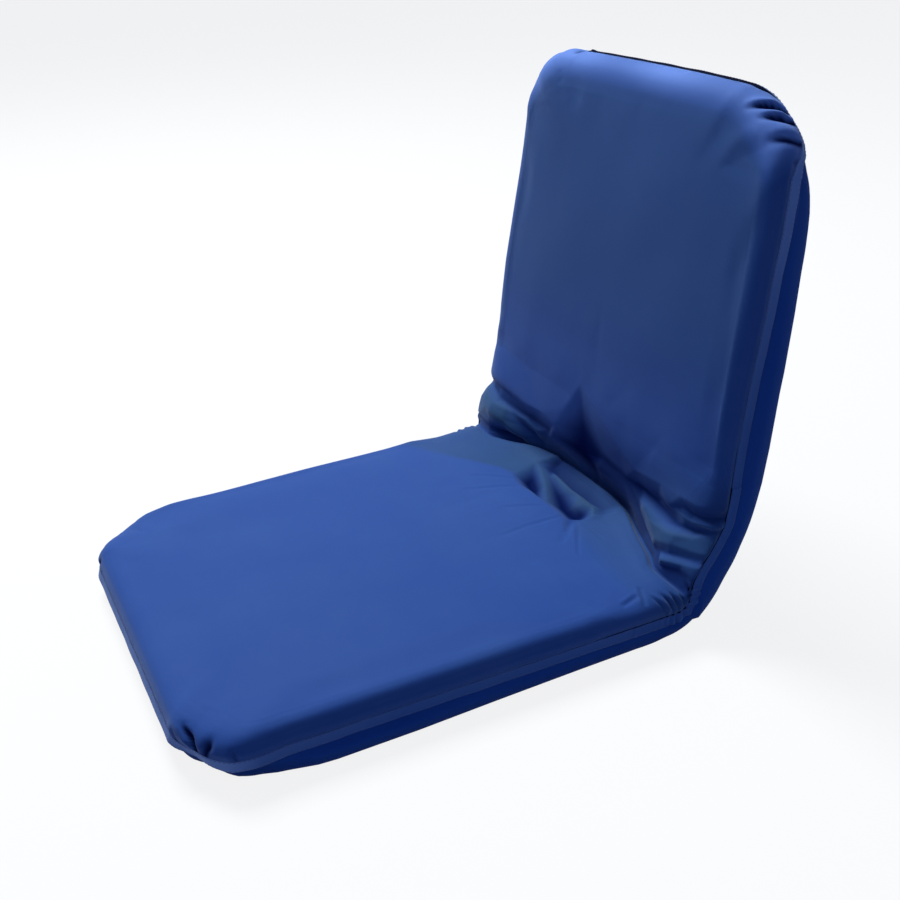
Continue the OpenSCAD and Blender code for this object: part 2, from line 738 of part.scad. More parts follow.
// Where a pad's cover ends at a place across the chair
function mouth_y(plan, x) = let (
        flat = plan[0] - hinge_corner_r,
        past = min(max(abs(x) - flat, 0), hinge_corner_r),
        q = min(abs(x) / flat, 1))
    plan[2] - plan[5] * (1 - q * q) + hinge_corner_r - sqrt(pow(hinge_corner_r, 2) - pow(past, 2));

// Direction out of the crease, midway between the two sitting faces
crease_out = [0, -cos(tilt / 2), sin(tilt / 2)];

// The gathered panel in the crease. It bulges over the hinge heads and between them, its folds
// run on a slant, and a tuft draws it in near the middle with folds that fan out from there.
function crease_rise(x, t) = let (
        q = x / crease_half_w,
        u = x / tuft_r,
        v = (t - tuft_at) / tuft_span,
        near = exp(-(u * u + v * v) / 2),
        fan = cos(tuft_folds * atan2(v, u)) * (u * u + v * v) * near)
    (crease_bulge + crease_side_bulge * q * q) * pow(sin(180 * t), 2)
    + (crease_fold * sin(720 * t + crease_slant * q) * (1 - near) + tuft_fold * fan
        - tuft_depth * near) * pow(sin(180 * t), 3);
function crease_point(i, j, lift) = let (
        x = crease_half_w * (2 * j / crease_cols - 1),
        t = i / crease_rows,
        tuck = -mouth_drop - soft_gap - cloth_t,
        a = seat_point([x, mouth_y(seat_top_plan, x) - 2 * cloth_t, tuck]),
        b = back_point([x, mouth_y(back_front_plan, x) - 2 * cloth_t, tuck]))
    a + (b - a) * t + crease_out * (crease_rise(x, t) + lift);
module crease_panel() {
    color(navy) sheet(
        [for (i = [0:crease_rows]) [for (j = [0:crease_cols]) crease_point(i, j, cloth_t)]],
        [for (i = [0:crease_rows]) [for (j = [0:crease_cols]) crease_point(i, j, 0)]]);
}

// The outer panel wraps the hinge from the seat's lower face to the back's rear face,
// with a cheek of cloth at each side. Its section is a U: [across, level].
function wrap_section(d) = let (
        half = cover_w / 2 - d,
        low = mouth_lift - pad_depth + d,
        r = base_round,
        high = -mouth_drop - cloth_t,
        side_run = run(high, low + r, wrap_side_n))
    concat(
        [[half, high]], [for (z = side_run) [half, z]],
        [for (i = [0:wrap_corner_n]) let (a = -90 * i / wrap_corner_n)
            [half - r + r * cos(a), low + r + r * sin(a)]],
        [for (x = run(half - r, r - half, wrap_floor_n)) [x, low]],
        [for (i = [0:wrap_corner_n]) let (a = -90 - 90 * i / wrap_corner_n)
            [r - half + r * cos(a), low + r + r * sin(a)]],
        [for (i = [wrap_side_n - 1:-1:0]) [-half, side_run[i]]], [[-half, high]]);
function wrap_point(p, t) = let (
        a = seat_point([p[0], mouth_y(seat_base_plan, p[0]) - 4 * soft_gap, p[1]]),
        b = back_point([p[0], mouth_y(back_rear_plan, p[0]) - 5 * soft_gap, p[1]]))
    a + (b - a) * t - crease_out * wrap_bulge * sin(180 * t);
module hinge_wrap_panel() {
    color(navy_dark) sheet(
        [for (i = [0:wrap_rows]) [for (p = wrap_section(0)) wrap_point(p, i / wrap_rows)]],
        [for (i = [0:wrap_rows]) [for (p = wrap_section(cloth_t)) wrap_point(p, i / wrap_rows)]]);
}

// The zip across the lower part of the back's outer face. Its face is level with the cloth's.
zip_level = -pad_depth;

module zip_tapes() {
    tape = (zip_w - coil_w) / 2 - fit_gap;
    color(webbing_black) on_back()
        for (s = [0, 1])
            translate([-zip_len / 2, zip_at - zip_w / 2 + s * (zip_w - tape), zip_level])
                cube([zip_len, tape, zip_t]);
}

// The closed coil: a cord along the middle with a tooth at each pitch, left and right in turn
module zip_coil() {
    count = floor(zip_len / coil_pitch);
    color(webbing_black) on_back() {
        translate([-zip_len / 2, zip_at - coil_w / 4, zip_level])
            cube([zip_len, coil_w / 2, coil_t]);
        for (k = [0:count - 1])
            translate([-zip_len / 2 + k * coil_pitch, zip_at - coil_w / 2, zip_level])
                cube([coil_pitch / 2, coil_w, coil_t]);
    }
}

// The slider: a waisted plate with a bridge for a pull, parked at one end of the coil
module zip_slider() {
    x0 = zip_len / 2 - slider_len - zip_end;
    half = slider_w / 2;
    waist = slider_waist / 2;
    top = zip_level - soft_gap;
    color(zinc) on_back() {
        translate([x0, zip_at, top - slider_t]) linear_extrude(slider_t)
            polygon([[0, -waist], [slider_len / 2, -waist], [slider_len, -half],
                [slider_len, half], [slider_len / 2, waist], [0, waist]]);
        difference() {
            translate([x0 + (slider_len - bridge_len) / 2, zip_at - bridge_w / 2,
                top - slider_t - bridge_h])
                cube([bridge_len, bridge_w, bridge_h + slider_t / 2]);
            translate([x0 + slider_len / 2, zip_at + bridge_w, top - slider_t - bridge_h / 2])
                rotate([90, 0, 0]) cylinder(h = 2 * bridge_w, r = bridge_h / 4);
        }
    }
}

seat_frame_tube();
seat_cross_tube();
seat_webbing();
seat_foam_upper();
seat_foam_lower();
seat_cover_top();
seat_cover_base();
seat_seam_tape();
back_frame_tube();
back_cross_tube();
back_webbing();
back_foam_front();
back_foam_rear();
back_cover_front();
back_cover_rear();
back_seam_tape();
crease_panel();
hinge_wrap_panel();
zip_tapes();
zip_coil();
zip_slider();
for (hand = [["left", 1], ["right", -1]]) {
    name = hand[0];
    side = hand[1];
    ratchet_arm(side);
    seat_rivets(side);
    cheek(side, -1);
    cheek(side, 1);
    back_rivets(side);
    pivot_pin(side);
    pivot_spacers(side);
    pawl(side);
    pawl_pin(side);
    pawl_spring(side);
}
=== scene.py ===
import bmesh
import bpy
import numpy as np
from mathutils import Matrix, Vector
from mathutils.geometry import delaunay_2d_cdt


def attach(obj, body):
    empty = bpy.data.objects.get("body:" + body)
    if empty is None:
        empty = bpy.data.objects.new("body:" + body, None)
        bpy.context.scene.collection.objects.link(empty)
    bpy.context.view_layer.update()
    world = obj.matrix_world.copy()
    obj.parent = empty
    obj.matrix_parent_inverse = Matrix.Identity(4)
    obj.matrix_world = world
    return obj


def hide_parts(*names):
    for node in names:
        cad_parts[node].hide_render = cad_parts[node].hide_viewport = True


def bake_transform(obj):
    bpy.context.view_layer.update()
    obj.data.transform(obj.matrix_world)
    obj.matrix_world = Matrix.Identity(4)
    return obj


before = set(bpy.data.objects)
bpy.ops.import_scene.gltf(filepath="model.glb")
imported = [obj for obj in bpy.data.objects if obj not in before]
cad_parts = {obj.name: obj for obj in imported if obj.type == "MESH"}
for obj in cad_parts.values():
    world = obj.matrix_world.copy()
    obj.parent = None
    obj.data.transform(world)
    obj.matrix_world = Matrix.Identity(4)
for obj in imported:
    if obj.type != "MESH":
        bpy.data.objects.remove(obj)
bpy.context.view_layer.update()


# The room: a camera that looks down on the near side of the chair, a pale floor and soft daylight
# from above. Nothing here is part of the chair.

scene = bpy.context.scene
scene.view_settings.view_transform = "Standard"


def linear(code):
    """An sRGB hex colour as linear values: each channel c gives ((c + 0.055) / 1.055) ^ 2.4."""
    c = np.array([int(code[i:i + 2], 16) for i in (1, 3, 5)]) / 255
    c = np.where(c > 0.04045, ((c + 0.055) / 1.055) ** 2.4, c / 12.92)
    return [float(v) for v in c] + [1.0]


def aim(azimuth, elevation, roll):
    """Axes of a camera that looks towards the chair from this azimuth and height, then rolls.
    The columns are its right, its up and the direction from the target back to the camera."""
    a, e, r = np.radians([azimuth, elevation, roll])
    away = np.array([np.sin(a) * np.cos(e), -np.cos(a) * np.cos(e), np.sin(e)])
    right = np.cross(-away, [0, 0, 1])
    right /= np.linalg.norm(right)
    up = np.cross(away, right)
    return np.stack([right * np.cos(r) + up * np.sin(r), up * np.cos(r) - right * np.sin(r), away], 1)


# The view of the chair from its near front corner: angles in degrees, place in metres
camera = bpy.data.objects.new("camera", bpy.data.cameras.new("camera"))
scene.collection.objects.link(camera)
scene.camera = camera
camera.data.sensor_width = 36
camera.data.lens = 44.33
view = np.eye(4)
view[:3, :3] = aim(63.264, 27.868, -1.328)
view[:3, 3] = [0.86459, -0.3479, 0.65479]
camera.matrix_world = Matrix(view.tolist())


def node(tree, kind, links=(), **settings):
    """Adds one node, sets its inputs and properties, and links its inputs. In a setting's name two
    underscores stand for a space, and in_3 is the node's input number 3."""
    n = tree.nodes.new(kind)
    for name, value in settings.items():
        key = name.replace("__", " ")
        if key in n.inputs:
            n.inputs[key].default_value = value
        elif name.startswith("in_"):
            n.inputs[int(name[3:])].default_value = value
        else:
            setattr(n, name, value)
    for name, source in dict(links).items():
        tree.links.new(source, n.inputs[name])
    return n


def material(name):
    """A new node material with only its output, and its tree."""
    m = bpy.data.materials.new(name)
    m.use_nodes = True
    m.node_tree.nodes.clear()
    return m, m.node_tree, m.node_tree.nodes.new("ShaderNodeOutputMaterial")


def shows_backdrop(tree):
    """1 for a ray that shows the background: the greatest of camera, glossy and transmission ray."""
    ray = node(tree, "ShaderNodeLightPath").outputs
    direct = node(tree, "ShaderNodeMath", {0: ray["Is Camera Ray"], 1: ray["Is Glossy Ray"]},
                  operation="MAXIMUM")
    direct = node(tree, "ShaderNodeMath", {0: direct.outputs[0], 1: ray["Is Transmission Ray"]},
                  operation="MAXIMUM")
    return direct.outputs[0]


# Pale studio floor: it takes the chair's shadow, and the camera sees it almost white
floor_half = 12.0
floor_mesh = bpy.data.meshes.new("studio_floor")
floor_mesh.from_pydata([(-floor_half, -floor_half, 0), (floor_half, -floor_half, 0),
                        (floor_half, floor_half, 0), (-floor_half, floor_half, 0)], [], [(0, 1, 2, 3)])
floor = bpy.data.objects.new("studio_floor", floor_mesh)
scene.collection.objects.link(floor)
pale, tree, out = material("pale_matt_floor")
dull = node(tree, "ShaderNodeBsdfDiffuse", Color=linear("#A6A9B0"))
matt = node(tree, "ShaderNodeBsdfDiffuse", Color=linear("#F4F4F4"))
glow = node(tree, "ShaderNodeEmission", Color=linear("#FFFFFF"), Strength=1.0)
washed = node(tree, "ShaderNodeMixShader", {1: matt.outputs[0], 2: glow.outputs[0]}, in_0=0.86)
seen = node(tree, "ShaderNodeMixShader", {0: shows_backdrop(tree), 1: dull.outputs[0], 2: washed.outputs[0]})
tree.links.new(seen.outputs[0], out.inputs["Surface"])
floor_mesh.materials.append(pale)

# Daylight: a pale sky that the camera sees as white, with a wide lamp above
world = bpy.data.worlds.new("soft_sky")
scene.world = world
world.use_nodes = True
sky = world.node_tree
sky.nodes.clear()
end = sky.nodes.new("ShaderNodeOutputWorld")
ambient = node(sky, "ShaderNodeBackground", Color=linear("#A4C2FF"), Strength=0.27)
white = node(sky, "ShaderNodeBackground", Color=linear("#FFFFFF"), Strength=1.0)
clear = node(sky, "ShaderNodeMixShader", {0: shows_backdrop(sky), 1: ambient.outputs[0], 2: white.outputs[0]})
sky.links.new(clear.outputs[0], end.inputs["Surface"])


def lamp(name, place, target, size, power, tint):
    """A square area lamp at a place, turned towards a target: its -Z axis points there."""
    data = bpy.data.lights.new(name, "AREA")
    data.size = size
    data.energy = power
    data.color = linear(tint)[:3]
    o = bpy.data.objects.new(name, data)
    scene.collection.objects.link(o)
    back = np.array(place, float) - np.array(target, float)
    back /= np.linalg.norm(back)
    side = np.cross([0, 1, 0.01], back)
    side /= np.linalg.norm(side)
    m = np.eye(4)
    m[:3, :3] = np.stack([side, np.cross(back, side), back], 1)
    m[:3, 3] = place
    o.matrix_world = Matrix(m.tolist())


lamp("sky_above", (-1.45, -0.08, 2.35), (0, 0.05, 0.1), 1.1, 92, "#F4FAFF")
lamp("front_left", (-1.2, -2.1, 1.2), (0, 0, 0.2), 1.2, 2, "#FFFDF2")


# Front panel of the cover: one piece of dark blue woven polyester over the seat's foam, through
# the crease and up the back's front face. It rounds over the pads' edges down to the side seam, and
# a tuft in the crease holds it to the foam.

mm = 0.001
# The hinge's axis, and how far the back is turned up from flat
hinge_y, hinge_z = 0.2435, 0.055
tilt = np.radians(83.5)
# Each pad's length from the crease to its end seam, half its width there, and its corners' radius
seat_l, seat_w, seat_r = 487 * mm, 196 * mm, 62 * mm
back_l, back_w, back_r = 435 * mm, 189 * mm, 72 * mm
# Half the width at the hinge, how far from the crease each pad starts to taper, and how far from it
# the pad's level face starts
hinge_w = 205 * mm
seat_full, back_full = 53 * mm, 74 * mm
seat_meets, back_meets = 75 * mm, 95 * mm
# Levels over the hinge's axis, the rise of the crown, and the width of the rounded edge
face_level = -3 * mm
seat_seam, back_seam = -24 * mm, -19 * mm
seat_rise, back_rise = 5 * mm, 4 * mm
edge_round = 36 * mm


def curve(knots, values, t):
    """A smooth curve through values at rising knots, read at t along the first axis. Between two
    knots it is the cubic whose slopes at the knots are those of the chord to the neighbours."""
    values = np.asarray(values, float)
    knots = np.asarray(knots, float)
    slope = np.gradient(values, knots, axis=0)
    k = np.clip(np.searchsorted(knots, t, side="right") - 1, 0, len(knots) - 2)
    h = knots[k + 1] - knots[k]
    u = np.clip((t - knots[k]) / h, 0, 1)
    shape = (len(t),) + (1,) * (values.ndim - 1)
    u, h = u.reshape(shape), h.reshape(shape)
    return ((2 * u ** 3 - 3 * u ** 2 + 1) * values[k] + (u ** 3 - 2 * u ** 2 + u) * h * slope[k]
            + (3 * u ** 2 - 2 * u ** 3) * values[k + 1] + (u ** 3 - u ** 2) * h * slope[k + 1])


def cloth_edge(inward, share, width, height):
    """A rounded edge as lengths of cloth from the seam, with the distance in and the share of the
    rise at each, and its spare: how much more cloth it takes than its width."""
    length = np.concatenate([[0], np.cumsum(np.hypot(np.diff(inward), np.diff(share) * height))])
    return length, inward, share, length[-1] - width


def rounded(t, edge):
    """Distance in from the seam, and share of the rise, at cloth length t from the seam."""
    length, inward, share, spare = edge
    return np.where(t < length[-1], np.interp(t, length, inward), t - spare), np.interp(t, length, share)


# The rounded edge, from the seam (0) to the flat (1): how far in, and how far up
edge_turn = np.array([0, 0.20, 0.38, 0.58, 0.80, 1.0])
edge_in = np.array([0, -0.03, 0.06, 0.28, 0.64, 1.0])
edge_up = np.array([0, 0.34, 0.62, 0.84, 0.965, 1.0])
fine = np.linspace(0, 1, 400)
front_edge = cloth_edge(curve(edge_turn, edge_in, fine) * edge_round, curve(edge_turn, edge_up, fine),
                        edge_round, face_level - seat_seam)
edge_cloth, spare = front_edge[0][-1], front_edge[-1]


def half_width(v):
    """Half the pad's width at v, which is minus the distance forward of the crease on the seat and
    the distance up from it on the back: a straight taper between the hinge and the end corners."""
    seat = hinge_w + (seat_w - hinge_w) * np.clip((-v - seat_full) / (seat_l - seat_r - seat_full), 0, 1)
    back = hinge_w + (back_w - hinge_w) * np.clip((v - back_full) / (back_l - back_r - back_full), 0, 1)
    return np.where(v < 0, seat, back)


def ease(t):
    """Smooth step from 0 to 1: 3 t^2 - 2 t^3."""
    t = np.clip(t, 0, 1)
    return t * t * (3 - 2 * t)


# The crease, as a side view in (forward of the hinge, above the hinge). crease_v is measured along
# the cloth from the valley. The ways are the path down the middle of the chair, the path near its
# sides, and the side seam's path round the hinge.
crease_v = np.array([-80, -30, -16, -7, 0, 8, 22, 40, 56, 68, 86, 105]) * mm
middle_way = np.array([(75, 2), (6, -1), (-8, 3), (-17, 5.5), (-22.5, -2), (-22, 5),
                       (-15, 17), (-7, 28), (-3.4, 38), (-3.2, 48), (-4.6, 62), (-5.8, 95)]) * mm
side_way = np.array([(75, -3), (42, 0), (32, 1.5), (25, 0.5), (20.5, -3), (20, 2),
                     (15.5, 15), (5, 34), (-5.5, 51), (-5, 60), (-9, 78), (-13.7, 94)]) * mm
# Where across the chair the crease has the sides' way (1) and the middle's (0)
share_at = np.array([-206, -160, -135, -107, -63, 0, 61, 106, 141, 158, 206]) * mm
share_of = np.array([1, 1, 0.74, 0.34, 0.05, 0, 0.1, 0.5, 0.79, 0.97, 1])
seam_way = np.array([(75, -24), (36, -24), (27, -24), (19, -22.5), (13, -17), (10, -2),
                     (3, 14), (-7, 27), (-17, 41), (-23.7, 51), (-27, 69.4), (-29.6, 92.2)]) * mm


def back_place(s, n):
    """A point of the back, s up from the hinge and n out of its sitting face, as (forward, up)."""
    return n * np.sin(tilt) - s * np.cos(tilt), s * np.sin(tilt) + n * np.cos(tilt)


def pad_place(v, level):
    """(forward, above) of a point at v and at a level over the hinge's axis: the seat, where v is less
    than 0, lies flat, and the back is turned up by tilt."""
    f, u = back_place(v, level)
    return np.where(v < 0, -v, f), np.where(v < 0, level, u)


def place(x, forward, above):
    """Points of the chair from x and their distances forward of the hinge and above it."""
    return np.stack([x, hinge_y - forward, hinge_z + above], -1)


def corner(v):
    """Radius of the end corners of the pad that v is on, and how far out their centres lie."""
    r = np.where(v < 0, seat_r, back_r)
    return r, np.where(v < 0, seat_l, back_l) - r


def inside(x, v):
    """Distance in from the pads' outline, less than 0 outside it, with the outward direction."""
    r, far = corner(v)
    qx = np.abs(x) - (half_width(v) - r)
    qy = np.abs(v) - far
    px, py = np.maximum(qx, 0), np.maximum(qy, 0)
    length = np.maximum(np.hypot(px, py), 1e-9)
    return (r - np.hypot(px, py) - np.minimum(np.maximum(qx, qy), 0),
            px / length * np.sign(x), py / length * np.sign(v))


def turn(x, v):
    """Where along the outline a point near the edge is: 0 on the long sides, 90 degrees on the end
    and in between round the corner, as seen from the corner's centre."""
    r, far = corner(v)
    past_side = np.maximum(np.abs(x) - (half_width(v) - r), 0)
    return np.degrees(np.arctan2(np.maximum(np.abs(v) - far, 0), past_side))


def seam_level(x, v):
    """Level of the seam under the panel: it lies 10 mm further behind at the back's top and 18 mm
    further behind round the back's corners."""
    lower = np.interp(turn(x, v), [0, 6, 14, 22, 30, 62, 74, 84, 90],
                      [0, 0.5, 6, 14, 18, 18, 14, 10.5, 10]) * mm
    return np.where(v < 0, seat_seam, back_seam - lower)


def around(x, v, near, far, end=((0, 0),)):
    """Outward shift read from tables: near and far are (place, mm) along the near and far side,
    where the place is in mm up to the corner and goes on in degrees round it; end is (x, mm) across
    the end, and counts by the sine of the angle round the corner."""
    a = turn(x, v)
    at = np.minimum(np.abs(v), corner(v)[1]) / mm + a
    near, far, end = [np.array(table, float).T for table in (near, far, end)]
    side = np.where(x > 0, np.interp(at, *near), np.interp(at, *far))
    return (side + np.interp(x / mm, *end) * np.sin(np.radians(a))) * mm


def seam_out(x, v):
    """How far the seam stands out from the plain outline, as the photo's seam line shows."""
    seat = around(x, v, [(300, 0), (368, 0.3), (406, 0), (425, 1.5), (436, 3), (450, 4.5), (467, 1.5),
                         (485, -2), (505, 0)],
                  [(395, 0), (425, -2), (442, -6), (463, -9), (485, -6), (506, -1), (515, 0)])
    back = around(x, v, [(0, 0), (25, -1), (58, -4), (126, -5.5), (185, -3.5), (257, 1.4), (293, 2.7),
                         (330, 5), (361, 5.5), (379, 2.5), (395, 0), (420, -2), (445, -0.5), (453, 0)],
                  [(40, 0), (363, 0), (385, 3), (405, 7), (425, 6), (442, 2), (453, 0)],
                  [(-181, 0), (-144, -2), (-108, -1.5), (-41, 0), (48, 1), (102, 0.5), (150, -1)])
    return np.where(v < 0, seat, back)


def spread(count, ends):
    """Numbers from -1 to 1 that lie closer together towards both ends: p (1 + k (1 - p^2))."""
    p = np.linspace(-1, 1, count)
    return p * (1 + ends * (1 - p * p))


def pad_rows(sign, stops, counts, corner_count, spare):
    """Rows of a pad's cloth, out from the crease, for the seat (-1) or the back (1): equal steps
    between the stops, then equal steps of angle round the corner, so the last lie close together."""
    start, l, r = (seat_meets, seat_l, seat_r) if sign < 0 else (back_meets, back_l, back_r)
    stops = [start, *stops, l - r]
    straight = [np.linspace(a, b, count)[1:] for a, b, count in zip(stops, stops[1:], counts)]
    a = np.linspace(0, np.pi / 2, corner_count + 1)[1:]
    return np.concatenate([*straight, l - r + (r + spare) * np.sin(a)])


def flat_rows(seat_rows, count, back_rows):
    """All rows along the flat cloth, from the seat's end seam through the crease to the back's, which
    of them are in the crease, and the crease's own rows. Those are drawn together to fit the plan,
    because the crease takes up cloth."""
    crease = np.linspace(crease_v[0], crease_v[-1], count)
    drawn = np.where(crease < 0, seat_meets / -crease_v[0], back_meets / crease_v[-1])
    plan = np.concatenate([-seat_rows[::-1], crease * drawn, back_rows])
    here = np.zeros(len(plan), bool)
    here[len(seat_rows):len(seat_rows) + count] = True
    return plan, here, crease


def panel_width(v, spare):
    """Half the flat cloth's width at v: the pad's half width and the spare for its edge, drawn in
    round the end corners by the arc of radius corner + spare."""
    r, far = corner(v)
    q = np.maximum(np.abs(v) - far, 0)
    return half_width(v) - r + np.sqrt(np.maximum((r + spare) ** 2 - q * q, 0))


def crown_at(x, v):
    """The pads' crown as a share of its height: one minus the square of the place across, times one
    minus the cube of the place along. That counts from 200 mm out, and the crown ends 25 mm before
    the end seam and 20 mm before the sides."""
    to_end = np.clip((np.abs(v) - 200 * mm) / (np.where(v < 0, seat_l, back_l) - 225 * mm), 0, 1)
    return (1 - np.clip(np.abs(x) / (half_width(v) - 20 * mm), 0, 1) ** 2) * (1 - to_end ** 3)


plan_v, in_crease, crease_rows = flat_rows(pad_rows(-1, [150 * mm], [42, 62], 58, spare), 150,
                                           pad_rows(1, [145 * mm], [28, 50], 60, spare))
cols = spread(229, 0.22)
flat_x = cols[None, :] * panel_width(plan_v, spare)[:, None]
flat_v = np.repeat(plan_v[:, None], len(cols), 1)
depth_in, out_x, out_v = inside(flat_x, flat_v)
cloth = depth_in + spare
moved_in, risen = rounded(cloth, front_edge)
draw = moved_in - (cloth - spare)
x = flat_x - out_x * draw
v = flat_v - out_v * draw

# The long sides turn over in half the width of the back's top: the rounding is pressed towards the
# seam there, and the cloth next to it is spread over the rest. The shares go by degrees of the turn.
turned_by = turn(x, v)
press = np.where(v < 0, np.interp(turned_by, [0, 14, 34, 62, 90], [0.58, 0.5, 0.12, 0.12, 0.35]),
                 np.interp(turned_by, [0, 14, 30, 60, 90], [0.55, 0.4, 0.05, 0, 0.05]))
press *= ease((np.abs(plan_v)[:, None] - 62 * mm) / (50 * mm))
past_edge = (moved_in - edge_round) / (corner(v)[0] - edge_round)
pressed = np.maximum(np.where(moved_in < edge_round, moved_in, edge_round * ease(1 - past_edge)), 0)
x, v = x + out_x * press * pressed, v + out_v * press * pressed
# The seam's own shift fades out over the first 56 mm of the pad
seam_fade = 56 * mm
hem = seam_out(x, v) * ease(1 - depth_in / seam_fade)
x, v = x + out_x * hem, v + out_v * hem

# Away from the crease: a level face with a crown
face = face_level + crown_at(x, v) * np.where(v < 0, seat_rise, back_rise)
level = face + (1 - risen) * (seam_level(x, v) - face)
forward, above = pad_place(v, level)

# In the crease: between the middle's way and the side's way, and from there out to the seam
cx = x[in_crease]
side_share = curve(share_at, share_of, np.clip(cx[0], share_at[0], share_at[-1]))
ways = (middle_way[:, None, :] * (1 - side_share)[None, :, None]
        + side_way[:, None, :] * side_share[None, :, None])
across_crown = crown_at(cx[0], 0.0)
ways[0, :, 1] = face_level + seat_rise * across_crown
end_f, end_u = back_place(back_meets, face_level + back_rise * across_crown)
ways[-1, :, 0], ways[-1, :, 1] = end_f, end_u
way = curve(crease_v, ways, crease_rows)
seam = curve(crease_v, seam_way, crease_rows)[:, None, :]
flat_cloth = np.clip(cloth[in_crease] / edge_cloth, 0, 1)
loose = (0.75 * ease((crease_rows + 4 * mm) / (14 * mm)) * ease((70 * mm - crease_rows) / (22 * mm)))[:, None]
lifted = risen[in_crease] * (1 - loose) + flat_cloth * loose
crease = way + (1 - lifted)[..., None] * (seam - way)
forward[in_crease], above[in_crease] = crease[..., 0], crease[..., 1]


def normals(p):
    """Unit normals of a grid of points: the cross product of its two directions."""
    n = np.cross(np.gradient(p, axis=1), np.gradient(p, axis=0))
    return n / np.maximum(np.linalg.norm(n, axis=-1, keepdims=True), 1e-12)


def groove(a, b, start, stop, depth, width, lip):
    """A fold along the line from start to stop: minus depth times exp(-(d / width)^2), d being the
    distance from the line, with a ridge of height lip on its left side. It fades to both ends."""
    p, q = np.array(start) * mm, np.array(stop) * mm
    line = q - p
    length = np.hypot(*line)
    t = np.clip(((a - p[0]) * line[0] + (b - p[1]) * line[1]) / length ** 2, 0, 1)
    dx, dy = a - p[0] - t * line[0], b - p[1] - t * line[1]
    d = np.hypot(dx, dy)
    left = np.sign(line[0] * dy - line[1] * dx)
    w = width * mm
    ridge = lip * np.exp(-((d * left - 1.8 * w) / w) ** 2) * np.exp(-(np.abs(t - 0.5) * 1.7) ** 6)
    return (-depth * np.exp(-(d / w) ** 2) + ridge) * np.sqrt(np.clip(4 * t * (1 - t), 0, 1)) * mm


points = place(x, forward, above)
valley = np.flatnonzero(in_crease)[0] + np.searchsorted(crease_rows, 0)
row = np.arange(len(plan_v))[:, None]
on_seat = row <= valley
back_s = -forward * np.cos(tilt) + above * np.sin(tilt)


def softened(field, times):
    """The same field after each point has taken the mean of itself and its neighbours, a few times."""
    for _ in range(times):
        q = np.pad(field, ((1, 1), (1, 1)) + ((0, 0),) * (field.ndim - 2), mode="edge")
        field = (2 * q[1:-1, 1:-1] + q[:-2, 1:-1] + q[2:, 1:-1] + q[1:-1, :-2] + q[1:-1, 2:]) / 6
    return field


def slit(a, b, path, deep, wide, lip):
    """A sharp fold along a path of points: minus deep times exp(-d / wide), d being the distance
    from the path, with a soft ridge on its left side. It grows from nothing at the first point."""
    best, along_path, left = np.full(a.shape, 1.0), np.zeros(a.shape), np.zeros(a.shape)
    path = np.array(path, float)
    steps = np.linalg.norm(np.diff(path, axis=0), axis=1)
    total = steps.sum()
    for k in range(len(path) - 1):
        p, line = path[k] * mm, (path[k + 1] - path[k]) * mm
        t = np.clip(((a - p[0]) * line[0] + (b - p[1]) * line[1]) / (line ** 2).sum(), 0, 1)
        dx, dy = a - p[0] - t * line[0], b - p[1] - t * line[1]
        d = np.hypot(dx, dy)
        nearer = d < best
        best = np.where(nearer, d, best)
        along_path = np.where(nearer, (steps[:k].sum() + t * steps[k]) / total, along_path)
        left = np.where(nearer, np.sign(line[0] * dy - line[1] * dx), left)
    w = wide * mm
    ridge = np.exp(-((best * left - 2.4 * w) / (1.6 * w)) ** 2)
    return (-deep * np.exp(-(best / w) ** 1.3) + lip * ridge) * ease(along_path * 1.6) * mm


# Corner pleats: the cloth that is left over at a rounded corner is laid in folds that end at the
# seam. Each is a path of (angle round the corner, distance out from the corner's arc in mm), with
# its depth, its width and the height of its ridge. The corners are keyed by pad and side.
pleats = {
    ("seat", 1): [([(78, -10), (70, -3), (61, 3), (54, 15)], 7.0, 2.2, 1.8),
                  ([(41, -12), (41, -4), (42, 4), (45, 15)], 5.0, 1.5, -2.0),
                  ([(24, -2), (23, 6), (22, 15)], 2.2, 2.2, 0.8),
                  ([(84, 0), (80, 8), (76, 15)], 2.0, 2.0, 0.7)],
    ("seat", -1): [([(70, -8), (74, 0), (78, 15)], 5.0, 2.0, 0.8),
                   ([(94, -5), (90, 4), (86, 15)], 4.0, 2.0, 0.6),
                   ([(50, -10), (50, 15)], 3.4, 2.0, 1.4),
                   ([(26, -6), (28, 15)], 2.4, 2.2, 1.0)],
    ("back", 1): [([(74, -14), (66, -3), (59, 6), (52, 16)], 7.5, 2.0, 2.4),
                  ([(57, -10), (52, -1), (47, 7), (43, 16)], 7.5, 2.0, 2.4),
                  ([(36, -13), (33, 0), (28, 16)], 4.5, 3.0, 1.6),
                  ([(20, 4), (16, 16)], 2.2, 2.4, 1.0)],
    ("back", -1): [([(80, -6), (82, 4), (84, 15)], 4.5, 2.2, 1.4),
                   ([(62, -6), (60, 15)], 4.0, 2.2, 1.4),
                   ([(42, -6), (40, 15)], 2.8, 2.4, 1.2),
                   ([(22, -4), (20, 15)], 2.0, 2.6, 1.0)]}
fold = np.zeros_like(x)
for (pad, side), paths in pleats.items():
    w, far, r = (seat_w, seat_l, seat_r) if pad == "seat" else (back_w, back_l, back_r)
    for path, deep, wide, lip in paths:
        a, reach = np.radians([q[0] for q in path]), r / mm + np.array([q[1] for q in path])
        line = np.stack([side * ((w - r) / mm + reach * np.cos(a)), (far - r) / mm + reach * np.sin(a)], 1)
        fold += (on_seat == (pad == "seat")) * slit(flat_x, np.abs(flat_v), line, deep, wide, lip * side)
fold = softened(fold, 1)
slits = fold.copy()
# Between its pleats the back's near top corner puffs out past the strip
corner_turn = turn(flat_x, flat_v)
fold += ((flat_v > 0) * 2.5 * mm * np.where(flat_x > 0, 1, 0.3) * ease((corner_turn - 8) / 20)
         * ease((78 - corner_turn) / 18) * np.exp(-((cloth - 15 * mm) / (12 * mm)) ** 2))
